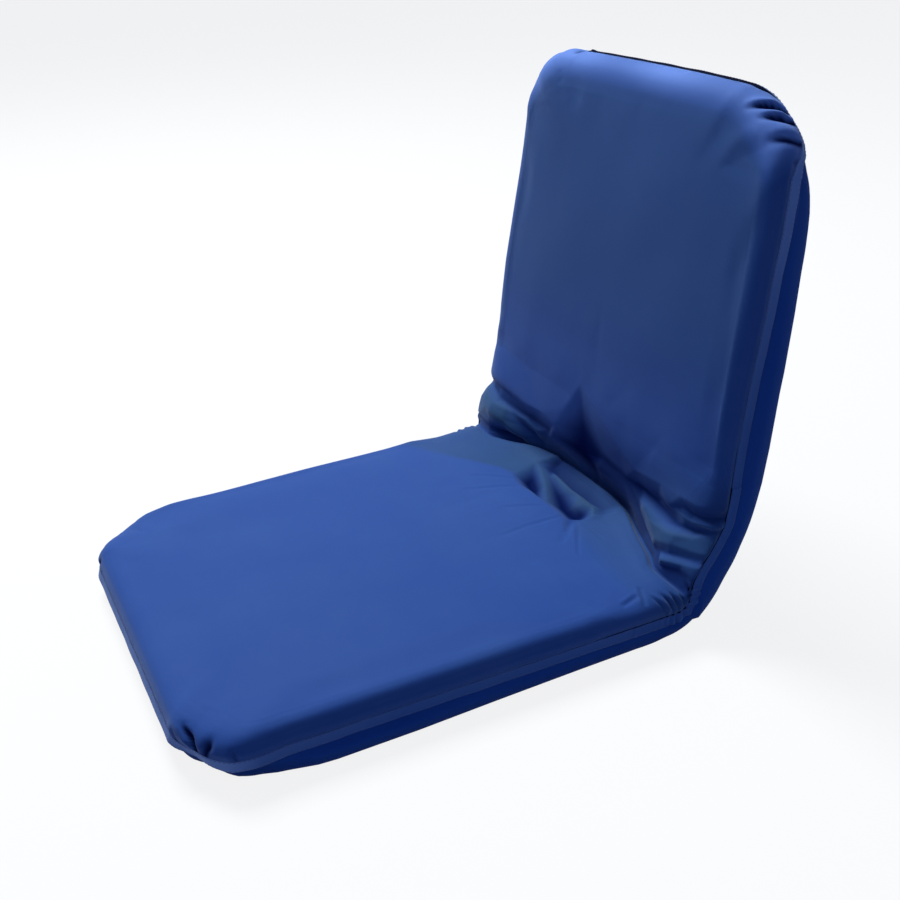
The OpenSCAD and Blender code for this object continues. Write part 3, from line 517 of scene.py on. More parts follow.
# The far edges of both pads are fuller than the near ones, as (distance from the crease, mm)
far_side = np.interp(-flat_v / mm, [60, 110, 300, 400, 440, 470], [0, 1, 2.5, 2.5, -1, 0])
far_side = far_side * ease((-flat_x / mm - 100) / 90)
far_back = np.interp(flat_v / mm, [15, 30, 70, 130, 200, 330, 400, 425, 445], [2, 6, 6, 7, 8, 7, 8, 5, 0])
far_back = far_back * np.clip(-flat_x / (190 * mm), 0, 1) ** 1.5
fold += np.where(flat_v < 0, far_side, far_back * (flat_v > 15 * mm)) * mm
# and the back's near edge has a low shoulder
fold += ((flat_x > 0) * 2 * mm * ease((flat_v - 110 * mm) / (60 * mm)) * ease(1 - corner_turn / 30)
         * np.exp(-((depth_in - 26 * mm) / (20 * mm)) ** 2))
# Gathers at the near and far ends of the crease, where the seam turns up round the hinge
gathers = [((193, -26), (214, -18), 3.2), ((196, -14), (214, -11), 3.6), ((199, -2), (214, -4), 3.0),
           ((196, 9), (214, 3), 2.6), ((190, -40), (213, -30), 1.8)]
for side in (1, -1):
    for start, stop, deep in gathers:
        fold += slit(side * flat_x, flat_v, [start, stop], deep, 1.8, 1.4)


def folded(a, b, lines):
    """Cloth folded along lines of points (across, along, height, painted sheen): it is flat between the
    lines, so each triangle between them takes its height and painted sheen from its three corners."""
    spots = [Vector(q[:2]) for line in lines for q in line]
    values = np.array([q[2:] for line in lines for q in line], float)
    first = np.cumsum([0] + [len(line) for line in lines])
    edges = [(f + i, f + i + 1) for f, line in zip(first, lines) for i in range(len(line) - 1)]
    spots, _, corners, source, _, _ = delaunay_2d_cdt(spots, edges, [], 0, 1e-4)
    values = np.array([values[group[0]] for group in source])
    spots = np.array([list(q) for q in spots])
    result = np.zeros(a.shape + (2,))
    for three in corners:
        p, q, r = spots[list(three)]
        area = (q[0] - p[0]) * (r[1] - p[1]) - (r[0] - p[0]) * (q[1] - p[1])
        u = ((a - p[0]) * (r[1] - p[1]) - (r[0] - p[0]) * (b - p[1])) / area
        w = ((q[0] - p[0]) * (b - p[1]) - (a - p[0]) * (q[1] - p[1])) / area
        here = (u >= 0) & (w >= 0) & (u + w <= 1)
        result[here] = (values[three[0]] * (1 - u - w)[here][:, None] + values[three[1]] * u[here][:, None]
                        + values[three[2]] * w[here][:, None])
    return result


# The tuft and the seat's rear edge: lines of (across, forward, height, painted sheen), in mm but for
# the last, a paler grey painted where the cloth's sheen shows. They run from the seat, over the tuft
# and into the valley.
seat_folds = [
    [(-230, 160, 0, 0), (-150, 145, 0, 0), (-90, 125, 0, 0), (-30, 130, 0, 0), (40, 125, 0, 0),
     (110, 105, 0, 0), (160, 90, 0, 0), (230, 84, 0, 0)],
    [(-230, 150, 0, 0), (-165, 110, 0.2, 0), (-127, 87, 0.4, 0), (-100, 67, 0.4, 0), (-83, 53, 0.4, 0),
     (-64, 47, 0.3, 0)],
    [(-230, 140, 0, 0.3), (-165, 101, 0.3, 0.5), (-127, 79, 0.2, 0.6), (-100, 59, 0, 0.7),
     (-83, 46, 0, 0.7), (-66, 39, -0.6, 0.7)],
    [(-44, 52, 0.3, 0), (-20, 50, 1.2, 0), (0, 49, 1.8, 0), (19, 49, 1.8, 0), (34, 48, 1, 0), (45, 41, -3, 0),
     (58, 38, -0.5, 0.3), (72, 34, 0, 0.45), (100, 38, 0.3, 0.4), (130, 44, 0.3, 0.35), (160, 49, 0.2, 0.35),
     (190, 54, 0, 0.2), (230, 60, 0, 0)],
    [(70, 62, 0, 0), (110, 68, 0, 0), (160, 72, 0, 0), (230, 74, 0, 0)],
    [(-58, 23, -6, 0), (-46, 33, -9, 0), (-30, 38, -8, 0), (-12, 43.5, -4, 0.1)],
    [(-100, 2, -0.6, 0.8), (-76, 8, 0, 0.8), (-62, 12, 0.4, 0.9), (-28, 26, -0.6, 0.9), (4, 44, -0.6, 0.7)],
    [(-44, 9, -3, 0.5), (-10, 20, -7, 0.1), (19, 30, -8, 0), (40, 38, -5, 0)],
    [(-40, 6, 0, 0.9), (-10, 9, 1.4, 1), (13, 8, 1.6, 1), (38, 8, 0.6, 1), (51, 17, 0.4, 0.7),
     (53, 29, -1, 0.4)],
    [(25, 13, 0, 0.9), (22, 22, -3.5, 0.8)],
    [(36, 20, -7, 0.1), (40, 28, -8, 0)],
    [(-38, 2, -5, 0.5), (-8, 4.5, -5, 0.5), (16, 3.5, -5, 0.5), (44, 2, -4, 0.5), (62, 13, -1, 0.5)],
    [(-56, 2, -6, 0.1), (-60, -8, -6, 0.1), (-54, -15, -3, 0.1)],
    [(-230, 18, 0, 0.6), (-160, 17, 0, 0.6), (-135, 8, 0, 0.6), (-107, -10, 0, 0.6), (-63, -23, 0, 0.6),
     (0, -26, 0, 0.6), (61, -22, 0, 0.6), (106, -2, 0, 0.5), (141, 8, 0, 0.5), (158, 16, 0, 0.4),
     (230, 18, 0, 0.3)]]
# The crease cloth and the back's lower end: lines of (across, up the back, height, painted sheen)
back_folds = [
    [(-230, 104, 0, 0), (-150, 108, 0, 0), (-60, 138, 0, 0), (-20, 142, 0, 0), (60, 132, 0, 0),
     (120, 116, 0, 0), (230, 106, 0, 0)],
    [(-230, 64, 0.5, 0), (-160, 58, 1.5, 0), (-114, 54, 1.2, 0), (-84, 56, 0, 0)],
    [(-230, 50, -1, 0.2), (-198, 45, -2.2, 0.3), (-161, 40, -4.4, 0.3), (-114, 37, -5, 0.2),
     (-74, 36, -4.4, 0.1)],
    [(-230, 36, 0.5, 0.8), (-170, 31, 2.4, 0.9), (-148, 33, 1.5, 0.9)],
    [(-138, 34, -1.4, 0.6), (-121, 25, -3.8, 0.3), (-104, 19, -4.4, 0.2), (-97, 10, -3, 0.2)],
    [(-118, 33, -1.2, 0.7), (-98, 27, -1, 0.6), (-84, 20, -2, 0.4)],
    [(-230, 24, 1, 0.8), (-178, 22, 2.8, 0.9), (-145, 20, 3.4, 1), (-118, 9, 2.2, 0.9)],
    [(-164, 9, -3.5, 0.1), (-140, 6, -6, 0), (-122, 4, -4, 0)],
    [(-24, 112, 0, 0), (-46, 76, -0.5, 0), (-60, 50, -1.6, 0), (-70, 32, -2.6, 0.1)],
    [(-20, 92, -3, 0), (-12, 62, -7, 0), (-4, 36, -9, 0)],
    [(18, 92, -0.4, 0), (58, 74, -0.6, 0), (86, 64, 0.2, 0)],
    [(28, 48, -6, 0), (68, 45, -5.4, 0), (97, 46, -6, 0), (124, 45, -5.2, 0), (158, 42, -4.6, 0),
     (185, 45, -4, 0.1), (206, 52, -1.6, 0.1), (230, 58, -1, 0)],
    [(96, 36, -4, 0.1), (100, 23, -4.4, 0.1), (118, 11, -4.4, 0.1), (138, 6, -3, 0.1)],
    [(112, 35, 1.2, 0.7), (132, 28, 3.8, 0.9), (156, 31, 3.2, 0.9), (184, 38, 1, 0.8), (230, 44, 0, 0.5)],
    [(146, 18, 2.4, 0.8), (172, 26, 1.6, 0.7), (230, 32, 0, 0.5)],
    [(146, 53, 1.4, 0.3), (176, 51, 2.4, 0.7), (196, 56, 1.4, 0.5), (230, 61, 0, 0.2)],
    [(164, 60, -0.6, 0.1), (177, 58, -4, 0), (193, 61, -5, 0), (208, 64, -5, 0), (230, 68, -4, 0)],
    [(104, 66, 1.5, 0.2), (130, 69, 2, 0.3), (160, 70, 2.6, 0.4), (184, 71, 2.4, 0.3), (206, 75, 1, 0.1),
     (230, 78, 0, 0)],
    [(133, 2, -2, 0.1), (155, 13, -4, 0.1), (182, 20, -3, 0.2), (230, 24, 0, 0.2)],
    [(166, 8, 1.8, 0.7), (190, 14, 1, 0.6), (230, 17, 0, 0.3)],
    [(163, 2, -3, 0), (185, 7, -3.4, 0), (208, 4, -1, 0), (230, 4, 0, 0)],
    [(-230, -12, 0, 0.3), (-100, -12, 0, 0), (0, -16, 0, 0), (100, -12, 0, 0), (230, -12, 0, 0)]]
relief = np.where(on_seat[..., None], folded(x / mm, forward / mm, seat_folds),
                  folded(x / mm, back_s / mm, back_folds))
# The folds are softened a little, in the 140 rows on each side of the valley
near_crease = np.abs(row - valley) < 140
relief = np.where(near_crease[..., None], softened(relief, 1), relief)
fold += relief[..., 0] * mm
# Painted sheen: the tables' grey on the crease, and the back's face painted greyer than the seat, more so
# towards its top
painted_sheen = (relief[..., 1]
            + 0.4 * ease((flat_v - 90 * mm) / (170 * mm)) * ease((cloth - 26 * mm) / (20 * mm)))
# Painted shade: darker deep in the folds, in the pleats' slits and low on the back from its middle to its
# near side
low_back_shade = (0.55 * (flat_v > 0) * ease((x + 40 * mm) / (60 * mm)) * ease((112 * mm - back_s) / (50 * mm))
            * ease(1 - painted_sheen * 2))
painted_shade_and_dark_seams = np.maximum(ease(-relief[..., 0] / 7.5), ease(-slits / (3.4 * mm)))
painted_shade_and_dark_seams = np.maximum(painted_shade_and_dark_seams, low_back_shade)
# Painted highlight: round the back's corners and along its top edge the cloth is painted paler, a little
# unevenly
painted_highlight = (flat_v > 0) * ease((corner_turn - 6) / 30) * ease(1 - (cloth - 16 * mm) / (26 * mm))
painted_highlight = painted_highlight * (0.75 + 0.25 * np.sin(flat_x * 41 + 0.6))

# Fine wrinkles that run from the tuft: ends in (across, forward), depth, width and ridge
wrinkles = [
    ((38, 46), (42, 84), 0.9, 1.5, 0.5), ((39, 70), (43, 122), 0.6, 1.8, 0.4),
    ((50, 42), (70, 60), 1.1, 1.8, -0.8), ((66, 56), (86, 78), 0.7, 2.0, -0.6),
    ((54, 38), (110, 74), 0.7, 1.9, 0.4), ((60, 36), (98, 34), 0.7, 1.6, 0.4),
    ((46, 16), (64, -6), 0.8, 1.5, 0.6), ((50, 20), (78, 8), 0.6, 1.4, 0.5),
    ((-52, 46), (-84, 92), 0.4, 2.4, 0.3), ((-36, 54), (-58, 112), 0.5, 2.2, 0.3),
    ((14, 52), (-4, 96), 0.5, 2.0, 0.4), ((188, 58), (193, 80), 1.2, 2.4, 0.6),
    ((180, 52), (200, 58), 1.4, 2.2, 0.8)]
for start, stop, deep, wide, lip in wrinkles:
    fold += on_seat * groove(x, forward, start, stop, deep, wide, lip)

# Soft unevenness of foam under cloth: a few long waves
wave = (np.sin(x * 31 + flat_v * 17) + np.sin(flat_v * 43 - x * 23 + 1.3)
        + np.sin(x * 67 - flat_v * 29 + 2.1) * 0.5)
fold += wave * 0.22 * mm * risen

# The folds stand on the outer side of the cloth. On a level place of the seat that side is up.
facing = normals(points)
outward = np.sign(facing[np.searchsorted(plan_v, -0.3), len(cols) // 2, 2])
from_seam = 0.2 + 0.8 * np.clip(cloth / (6 * mm), 0, 1)
points = points + facing * outward * (fold * from_seam)[..., None]


def grid_mesh(name, p, uv=None, flip=False):
    """A mesh of four-sided faces through a grid of points, with the grid's own UV map in metres."""
    rows, columns = p.shape[:2]
    i = (np.arange(rows - 1)[:, None] * columns + np.arange(columns - 1)[None, :]).ravel()
    quads = np.stack([i, i + 1, i + columns + 1, i + columns], 1)
    if flip:
        quads = quads[:, ::-1]
    mesh = bpy.data.meshes.new(name)
    mesh.from_pydata(p.reshape(-1, 3).tolist(), [], quads.tolist())
    if uv is not None:
        layer = mesh.uv_layers.new(name="cloth")
        layer.data.foreach_set("uv", uv.reshape(-1, 2)[quads.ravel()].astype(np.float32).ravel())
    mesh.polygons.foreach_set("use_smooth", np.ones(len(quads), bool))
    mesh.update()
    o = bpy.data.objects.new(name, mesh)
    scene.collection.objects.link(o)
    return o


def settled(p, held, step, flip):
    """How far a sheet moves along its own normal when air under it lifts its cloth between the held
    points. A coarser copy of the grid, every step-th row and column, is a Blender cloth with a little
    more length than it needs. The folds in its movement, without the broad swell that the foam takes,
    are limited by 0.9 tanh(m / 2.4), in mm, and read back at every point of the fine grid."""
    kept = [np.unique(np.append(np.arange(0, n, step), n - 1)) for n in p.shape[:2]]
    coarse = p[np.ix_(*kept)]
    trial = grid_mesh("trial_cloth", coarse, flip=flip)
    group = trial.vertex_groups.new(name="sewn")
    group.add(np.flatnonzero(held[np.ix_(*kept)].ravel()).tolist(), 1.0, "REPLACE")
    fabric = trial.modifiers.new("fabric", "CLOTH")
    for key, value in {"quality": 6, "mass": 0.25, "tension_stiffness": 12, "compression_stiffness": 12,
                       "shear_stiffness": 4, "bending_stiffness": 0.12, "tension_damping": 8,
                       "air_damping": 3, "use_pressure": True, "uniform_pressure_force": 4.0,
                       "shrink_min": -0.01, "vertex_group_mass": "sewn", "pin_stiffness": 1.0}.items():
        setattr(fabric.settings, key, value)
    fabric.settings.effector_weights.gravity = 0
    frames = 20
    fabric.point_cache.frame_start, fabric.point_cache.frame_end = 1, frames
    for moment in range(1, frames + 1):
        scene.frame_set(moment)
    result = trial.evaluated_get(bpy.context.evaluated_depsgraph_get()).data
    co = np.empty(len(result.vertices) * 3, np.float32)
    result.vertices.foreach_get("co", co)
    lift = ((co.reshape(coarse.shape) - coarse) * normals(coarse)).sum(-1)
    bpy.data.objects.remove(trial)
    scene.frame_set(1)
    swell = softened(lift, 40)
    lift = softened(lift, 1) - swell
    lift = 0.9 * mm * np.tanh(lift / (2.4 * mm))
    lift = curve(kept[0], lift, np.arange(p.shape[0]))
    return curve(kept[1], lift.T, np.arange(p.shape[1])).T


def along(p):
    """Length of cloth along each column, from the first row."""
    step = np.linalg.norm(np.diff(p, axis=0), axis=-1)
    return np.concatenate([np.zeros((1, p.shape[1])), np.cumsum(step, 0)])


def thicken(o, thickness):
    """Gives a sheet its thickness on the inner side, with its rims closed."""
    m = o.modifiers.new("cloth", "SOLIDIFY")
    m.thickness = thickness
    m.offset = -1
    m.use_rim = True


def paint(o, name, field):
    """Stores a value for each point of a grid's mesh, which the material reads by this name."""
    layer = o.data.attributes.new(name, "FLOAT", "POINT")
    layer.data.foreach_set("value", field.ravel().astype(np.float32))


def woven(name, colour, dusty, tones=(), rough=0.62, sheen=0.35, mottling=0.35):
    """Woven polyester, piece dyed: a plain weave whose threads show as fine ribs, with a soft sheen on
    the raised yarns and a faint chalky mottling where it was handled. The real threads lie 0.5 mm
    apart and are drawn 1.1 mm apart, so that they show. Each of the tones is laid over the colour by
    the attribute of its name: they are painted sheen, painted highlight, and painted shade with dark
    seams. Where the painted shade lies the cloth has no sheen and hardly any shine."""
    thread, shine = 1.1 * mm, 0.06
    m, tree, out = material(name)
    uv = node(tree, "ShaderNodeUVMap", uv_map="cloth")
    at = node(tree, "ShaderNodeSeparateXYZ", {0: uv.outputs[0]})
    where = node(tree, "ShaderNodeTexCoord")
    ribs = []
    for axis in (0, 1):
        phase = node(tree, "ShaderNodeMath", {0: at.outputs[axis]}, operation="MULTIPLY",
                     in_1=2 * np.pi / thread)
        ribs.append(node(tree, "ShaderNodeMath", {0: phase.outputs[0]}, operation="SINE"))
    weave = node(tree, "ShaderNodeMath", {0: ribs[0].outputs[0], 1: ribs[1].outputs[0]},
                 operation="MULTIPLY")
    slub = node(tree, "ShaderNodeTexNoise", {"Vector": where.outputs["Object"]}, Scale=420.0, Detail=2.0)
    cloudy = node(tree, "ShaderNodeTexNoise", {"Vector": where.outputs["Object"]}, Scale=9.0, Detail=5.0,
                  Roughness=0.62)
    dust = node(tree, "ShaderNodeMapRange", {0: cloudy.outputs["Fac"]}, in_1=0.42, in_2=0.78, in_3=0.0,
                in_4=mottling)
    tone = node(tree, "ShaderNodeMix", {0: dust.outputs[0]}, data_type="RGBA", in_6=linear(colour),
                in_7=linear(dusty))
    for attribute, shade in dict(tones).items():
        amount = node(tree, "ShaderNodeAttribute", attribute_name=attribute)
        tone = node(tree, "ShaderNodeMix", {0: amount.outputs["Fac"], 6: tone.outputs[2]},
                    data_type="RGBA", in_7=linear(shade))
    height = node(tree, "ShaderNodeMath", {0: weave.outputs[0], 1: slub.outputs["Fac"]}, operation="ADD")
    bump = node(tree, "ShaderNodeBump", {"Height": height.outputs[0]}, Strength=0.35, Distance=0.12 * mm)
    cloth_shader = node(tree, "ShaderNodeBsdfPrincipled",
                        {"Base Color": tone.outputs[2], "Normal": bump.outputs[0]}, Roughness=rough,
                        Specular__IOR__Level=shine, Sheen__Weight=sheen, Sheen__Roughness=0.5,
                        Sheen__Tint=linear("#CFE0E4"))
    # Where shade is painted, the sheen and the shine fade out too
    if "painted_shade_and_dark_seams" in tones:
        deep = node(tree, "ShaderNodeAttribute", attribute_name="painted_shade_and_dark_seams")
        for socket, whole, left in (("Sheen Weight", sheen, 0.0), ("Specular IOR Level", shine, 0.01)):
            fading = node(tree, "ShaderNodeMapRange", {0: deep.outputs["Fac"]}, in_3=whole, in_4=left)
            tree.links.new(fading.outputs[0], cloth_shader.inputs[socket])
    tree.links.new(cloth_shader.outputs[0], out.inputs["Surface"])
    return m


# The cloth is held at its seam, in the crease and at the tuft, and rests on foam elsewhere
held_to = 86 * mm
held = (cloth < 1 * mm) | (np.abs(flat_v) < held_to)
lift = settled(points, held, 4, outward < 0)
free = ease((np.abs(flat_v[..., None]) - held_to) / (30 * mm))
points = points + normals(points) * lift[..., None] * free

front = grid_mesh("front_panel", points, np.stack([flat_x, along(points)], -1), flip=outward < 0)
# The tones paint light and shade into the colour: grey sheen, a pale highlight at the back's top, navy shade
# in folds
front.data.materials.append(woven("woven_polyester_blue", "#274A8F", "#385992", sheen=0.16, tones={
    "painted_sheen": "#28486C", "painted_highlight": "#5E80C8", "painted_shade_and_dark_seams": "#061545"}))
for name, field in (("painted_sheen", painted_sheen), ("painted_shade_and_dark_seams", painted_shade_and_dark_seams), ("painted_highlight", painted_highlight)):
    paint(front, name, field)
thicken(front, 0.8 * mm)
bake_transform(front)
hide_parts("seat_cover_top", "back_cover_front", "crease_panel")


# Rear panel of the cover: the same cloth under the seat, round the outside of the hinge and up the
# back's rear face. It is drawn in under the pads, so its edge is smaller than the seam strip.

# The strip's width, and how far up behind it this panel goes
strip_w, overlap = 12.5 * mm, 4 * mm
# Its lower face's level over the hinge's axis, and the width and height of its rounded edge
outer_level = -55 * mm
base_round, base_drop = 7 * mm, 18.5 * mm
outer_way = np.array([(75, -55), (38, -54), (22, -52), (10, -47.5), (0, -42), (-10, -34),
                      (-20, -21), (-31, -5.5), (-43, 13), (-51, 31), (-59, 58), (-65.4, 88.2)]) * mm


def base_out(x, v):
    """How far the outer panel's side stands out past the seam: it sags outwards along the sides and
    is drawn in round the corners."""
    seat = [(60, 1), (131, 2.5), (215, 5), (294, 8), (367, 8.5), (384, 7.5), (400, 4), (416, 0),
            (430, -6), (447, -10), (465, -12), (487, -12), (515, -5)]
    back = [(60, 5), (128, 10), (205, 8.5), (277, 4), (311, 2), (344, -2), (359, -6), (374, -11),
            (389, -13), (405, -12), (423, -9), (453, -5)]
    return np.where(v < 0, around(x, v, seat, seat), around(x, v, back, back))


def strip_out(x, v):
    """How far the strip's lower edge stands out past the seam: a little at the seat's front, and it
    is drawn in round the back's corners and over the back's top."""
    seat = around(x, v, [(0, 0), (425, 0), (455, -1), (478, -4), (496, -4), (509, 1), (515, 3)],
                  [(0, 0), (425, 0), (480, 1), (505, 3.4), (515, 3)])
    return np.where(v < 0, seat, np.interp(turn(x, v), [8, 28, 60, 80, 90], [0, -9, -9, -5, -4.5]) * mm)


def strip_offset(way):
    """The direction square to a path of (forward, up) points, on its outer side."""
    d = np.gradient(way, axis=0)
    d /= np.linalg.norm(d, axis=1, keepdims=True)
    return np.stack([-d[:, 1], d[:, 0]], 1)


seam_path = curve(crease_v, seam_way, crease_rows)
turned = strip_offset(seam_path)
turned[:3], turned[-3:] = turned[3], turned[-4]
lower_path = seam_path + strip_w * turned
under_path = seam_path + (strip_w - overlap) * turned

# The edge under the seam: it goes down first, and turns in at the bottom
quarter = np.linspace(0, np.pi / 2, 200)
base_edge = cloth_edge(base_round * (1 - np.cos(quarter)) ** 0.9, np.sin(quarter) ** 0.8, base_round,
                       base_drop)
base_spare = base_edge[-1]
plan_rear, rear_crease, rear_crease_rows = flat_rows(pad_rows(-1, [], [44], 34, base_spare), 60,
                                                     pad_rows(1, [], [40], 38, base_spare))
rear_flat_x = spread(131, 0.4)[None, :] * panel_width(plan_rear, base_spare)[:, None]
rear_flat_v = np.repeat(plan_rear[:, None], rear_flat_x.shape[1], 1)
rear_depth_in, rear_out_x, rear_out_v = inside(rear_flat_x, rear_flat_v)
rear_cloth = rear_depth_in + base_spare
rear_moved_in, sunk = rounded(rear_cloth, base_edge)
rear_draw = rear_moved_in - (rear_cloth - base_spare)
rear_x, rear_v = rear_flat_x - rear_out_x * rear_draw, rear_flat_v - rear_out_v * rear_draw
# Its upper edge lies hidden behind the strip, drawn in 1.7 mm
top_edge = seam_level(rear_x, rear_v) - strip_w + overlap
tuck = seam_out(rear_x, rear_v) + (strip_out(rear_x, rear_v) - 1.7 * mm) * (1 - sunk) ** 2
shift = tuck + base_out(rear_x, rear_v) * ease(sunk * 2.2)
shift *= ease(1 - rear_depth_in / seam_fade)
rear_x, rear_v = rear_x + rear_out_x * shift, rear_v + rear_out_v * shift
rear_forward, rear_above = pad_place(rear_v, outer_level + (1 - sunk) * (top_edge - outer_level))
# Round the hinge: from under the strip to the outer way, which bulges in the middle of the chair
outer = curve(crease_v, outer_way, rear_crease_rows)[:, None, :]
upper = np.stack([np.interp(rear_crease_rows, crease_rows, under_path[:, i]) for i in (0, 1)], 1)[:, None, :]
bulge = (4 * mm * np.exp(-((rear_crease_rows - 2 * mm) / (26 * mm)) ** 2)[:, None]
         * np.clip(1 - (rear_x[rear_crease] / (185 * mm)) ** 2, 0, 1) ** 0.7)
outer = outer + bulge[..., None] * np.array([-0.77, -0.64])
wrap = outer + (1 - sunk[rear_crease])[..., None] * (upper - outer)
rear_forward[rear_crease], rear_above[rear_crease] = wrap[..., 0], wrap[..., 1]
rear_points = place(rear_x, rear_forward, rear_above)
# The outer cloth hangs a little slack: shallow cross folds near the hinge, none where it lies on
# the floor
slack = np.zeros_like(rear_x)
slack[rear_crease] = (np.sin(rear_crease_rows / mm / 5.2)[:, None]
                      * np.exp(-(rear_crease_rows / 34 / mm) ** 2)[:, None]
                      * 0.9 * mm * sunk[rear_crease] * (0.4 + 0.6 * np.cos(rear_x[rear_crease] * 24) ** 2))
# Inwards is up at this point under the seat
rear_facing = normals(rear_points)
inward = rear_facing * np.sign(rear_facing[10, 55, 2])
rear_points = rear_points + inward * slack[..., None]
rear_points[..., 2] = np.maximum(rear_points[..., 2], 0.0)

rear = grid_mesh("rear_panel", rear_points, np.stack([rear_flat_x, along(rear_points)], -1), flip=outward > 0)
rear.data.materials.append(woven("woven_polyester_outer", "#1A4696", "#2A5296", rough=0.75, sheen=0.12,
                                 mottling=0.3))
thicken(rear, 0.8 * mm)
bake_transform(rear)
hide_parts("seat_cover_base", "back_cover_rear", "hinge_wrap_panel")


# Seam strip: a folded band of the same cloth, 12 to 13 mm wide, sewn all round between the two
# panels. It is doubled, so it stands a little proud, and it is coloured lighter than the cloth beside it.

def outline(sign, side_count, corner_count):
    """The seam round the seat (-1) or the back (1) as (x, v): from the hinge along the near side,
    round the corner, along the end, round the other corner and back to the hinge."""
    start, far, w, r = seat_meets, seat_l, seat_w, seat_r
    if sign > 0:
        start, far, w, r = back_meets, back_l, back_w, back_r
    a = np.linspace(0, np.pi / 2, corner_count)
    side = np.linspace(start, far - r, side_count)[:-1]
    end = np.linspace(w - r, 0, 24)[1:]
    px = np.concatenate([half_width(sign * side), w - r + r * np.cos(a), end])
    py = np.concatenate([side, far - r + r * np.sin(a), np.full(len(end), far)])
    return np.concatenate([px, -px[-2::-1]]), sign * np.concatenate([py, py[-2::-1]])


def strip_edges(px, pv):
    """The strip's upper and lower edge along an outline: the seam where the panel has moved it, and
    the line that lies strip_w below it and stands out further by strip_out."""
    _, nx, nv = inside(px, pv)
    out, level = seam_out(px, pv), seam_level(px, pv)
    both = ((out, level), (strip_out(px, pv) + out, level - strip_w))
    return [place(px + nx * o, *pad_place(pv + nv * o, h)) for o, h in both]


def hinge_edges(side):
    """The strip's upper and lower edge round the hinge, on the near side (1) or the far side (-1)."""
    hx = np.full(len(crease_rows) - 2, hinge_w)
    hx = side * (hx + seam_out(side * hx, plan_v[in_crease][1:-1]))
    return [place(hx, *path[1:-1].T) for path in (seam_path, lower_path)]


def unit(p):
    """Vectors of length 1 in the same directions."""
    return p / np.linalg.norm(p, axis=-1, keepdims=True)


seat_x, seat_v = outline(-1, 60, 40)
back_x, back_v = outline(1, 50, 44)
parts = zip(strip_edges(seat_x, seat_v), hinge_edges(1), strip_edges(back_x, back_v), hinge_edges(-1))
# Round the seat from the far hinge to the near hinge, up the near side and over the back
top_line, low_line = [np.concatenate([seat[::-1], near, back, far[::-1]]) for seat, near, back, far in parts]
closed = np.vstack([top_line, top_line[:1]])
cut = np.concatenate([[0], np.cumsum(np.linalg.norm(np.diff(closed, axis=0), axis=1))])
tangent = unit(np.roll(top_line, -1, 0) - np.roll(top_line, 1, 0))
outward_line = unit(np.cross(tangent, unit(low_line - top_line)))
flip_strip = (outward_line[:, 0] * np.sign(top_line[:, 0])).mean() < 0
if flip_strip:
    outward_line = -outward_line
# Section of the band: (share of the way down, mm proud of the seam), a flat tube with puffed edges
# whose ends go in behind the panels
section = np.array([(-0.16, -2.4), (-0.02, -1.5), (0.04, -0.1), (0.07, 0.45), (0.13, 0.66), (0.3, 0.6),
                    (0.5, 0.55), (0.7, 0.6), (0.87, 0.66), (0.93, 0.45), (0.96, -0.1), (1.02, -1.5),
                    (1.16, -2.4)])
length = cut[:-1]
pucker = 0.28 * np.sin(length / (7.5 * mm)) + 0.22 * np.sin(length / (11.3 * mm) + 1)
# Over the back's top the strip stands up as a flap between a notch and a pointed end
flap_x = np.where(top_line[:, 2] > hinge_z + 0.36, top_line[:, 0] / mm, 999)
flap = ease((flap_x + 132) / 5) * ease((152 - flap_x) / 30)
# Round the hinge it is gathered
hinge_ends = (np.exp(-((top_line[:, 1] - hinge_y + 20 * mm) / (16 * mm)) ** 2) * (top_line[:, 2] < hinge_z)
              * (np.abs(top_line[:, 0]) > 180 * mm))
pucker = pucker + 3.0 * hinge_ends * np.sin(length / (1.1 * mm)) + 5.0 * flap
band = (top_line[:, None, :] + (low_line - top_line)[:, None, :] * section[None, :, :1]
        + outward_line[:, None, :] * ((section[None, :, 1:] + pucker[:, None, None] * 0.5) * mm))
band = np.concatenate([band, band[:1]])
uv = np.stack([np.repeat(section[None, :, 0] * strip_w, len(band), 0),
               np.repeat(cut[:, None], len(section), 1)], -1)
strip = grid_mesh("seam_strip", band, uv, flip=not flip_strip)
# Its tones are painted light: sheen at the flap's end, highlight where it sticks out, shade on the flap, and
# dark seam edges
strip.data.materials.append(woven("woven_polyester_strip", "#26509A", "#385E9C", rough=0.65, sheen=0.2,
                                  mottling=0.4, tones={
                                      "painted_sheen": "#7088B4", "painted_highlight": "#7590CC", "painted_shade_and_dark_seams": "#030A20"}))
# Its edges are dark in the seams. It has a painted highlight where it sticks out: at the seat's front
# and corners and along the back's sides. The flap has painted shade, and a painted sheen at its pointed end.
edge_dark = np.where((section[:, 0] < 0.06) | (section[:, 0] > 0.94), 1.0, 0.0)
flap_sheen = ease((flap_x - 118) / 16) * (flap_x < 900) * ease((176 - flap_x) / 10)
at_hinge = np.zeros(len(crease_rows) - 2)
strip_v = np.concatenate([seat_v[::-1], at_hinge, back_v, at_hinge])
strip_highlight = np.where(strip_v < 0,
                np.interp(-strip_v / mm, [300, 430, 455, 475, 482, 487], [0.12, 0.3, 0.9, 0.8, 0.45, 0.4]),
                np.interp(strip_v / mm, [40, 130, 260, 380, 415], [0.06, 0.12, 0.35, 0.8, 0.3]))
for name, line in (("painted_shade_and_dark_seams", np.maximum(edge_dark[None, :], (flap * 0.95 * (1 - flap_sheen))[:, None])),
                   ("painted_sheen", flap_sheen[:, None] * np.ones(len(section))),
                   ("painted_highlight", strip_highlight[:, None] * (1 - flap)[:, None] * np.ones(len(section)))):
    paint(strip, name, np.concatenate([line, line[:1]]))
thicken(strip, 0.5 * mm)
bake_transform(strip)
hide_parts("seat_seam_tape", "back_seam_tape")


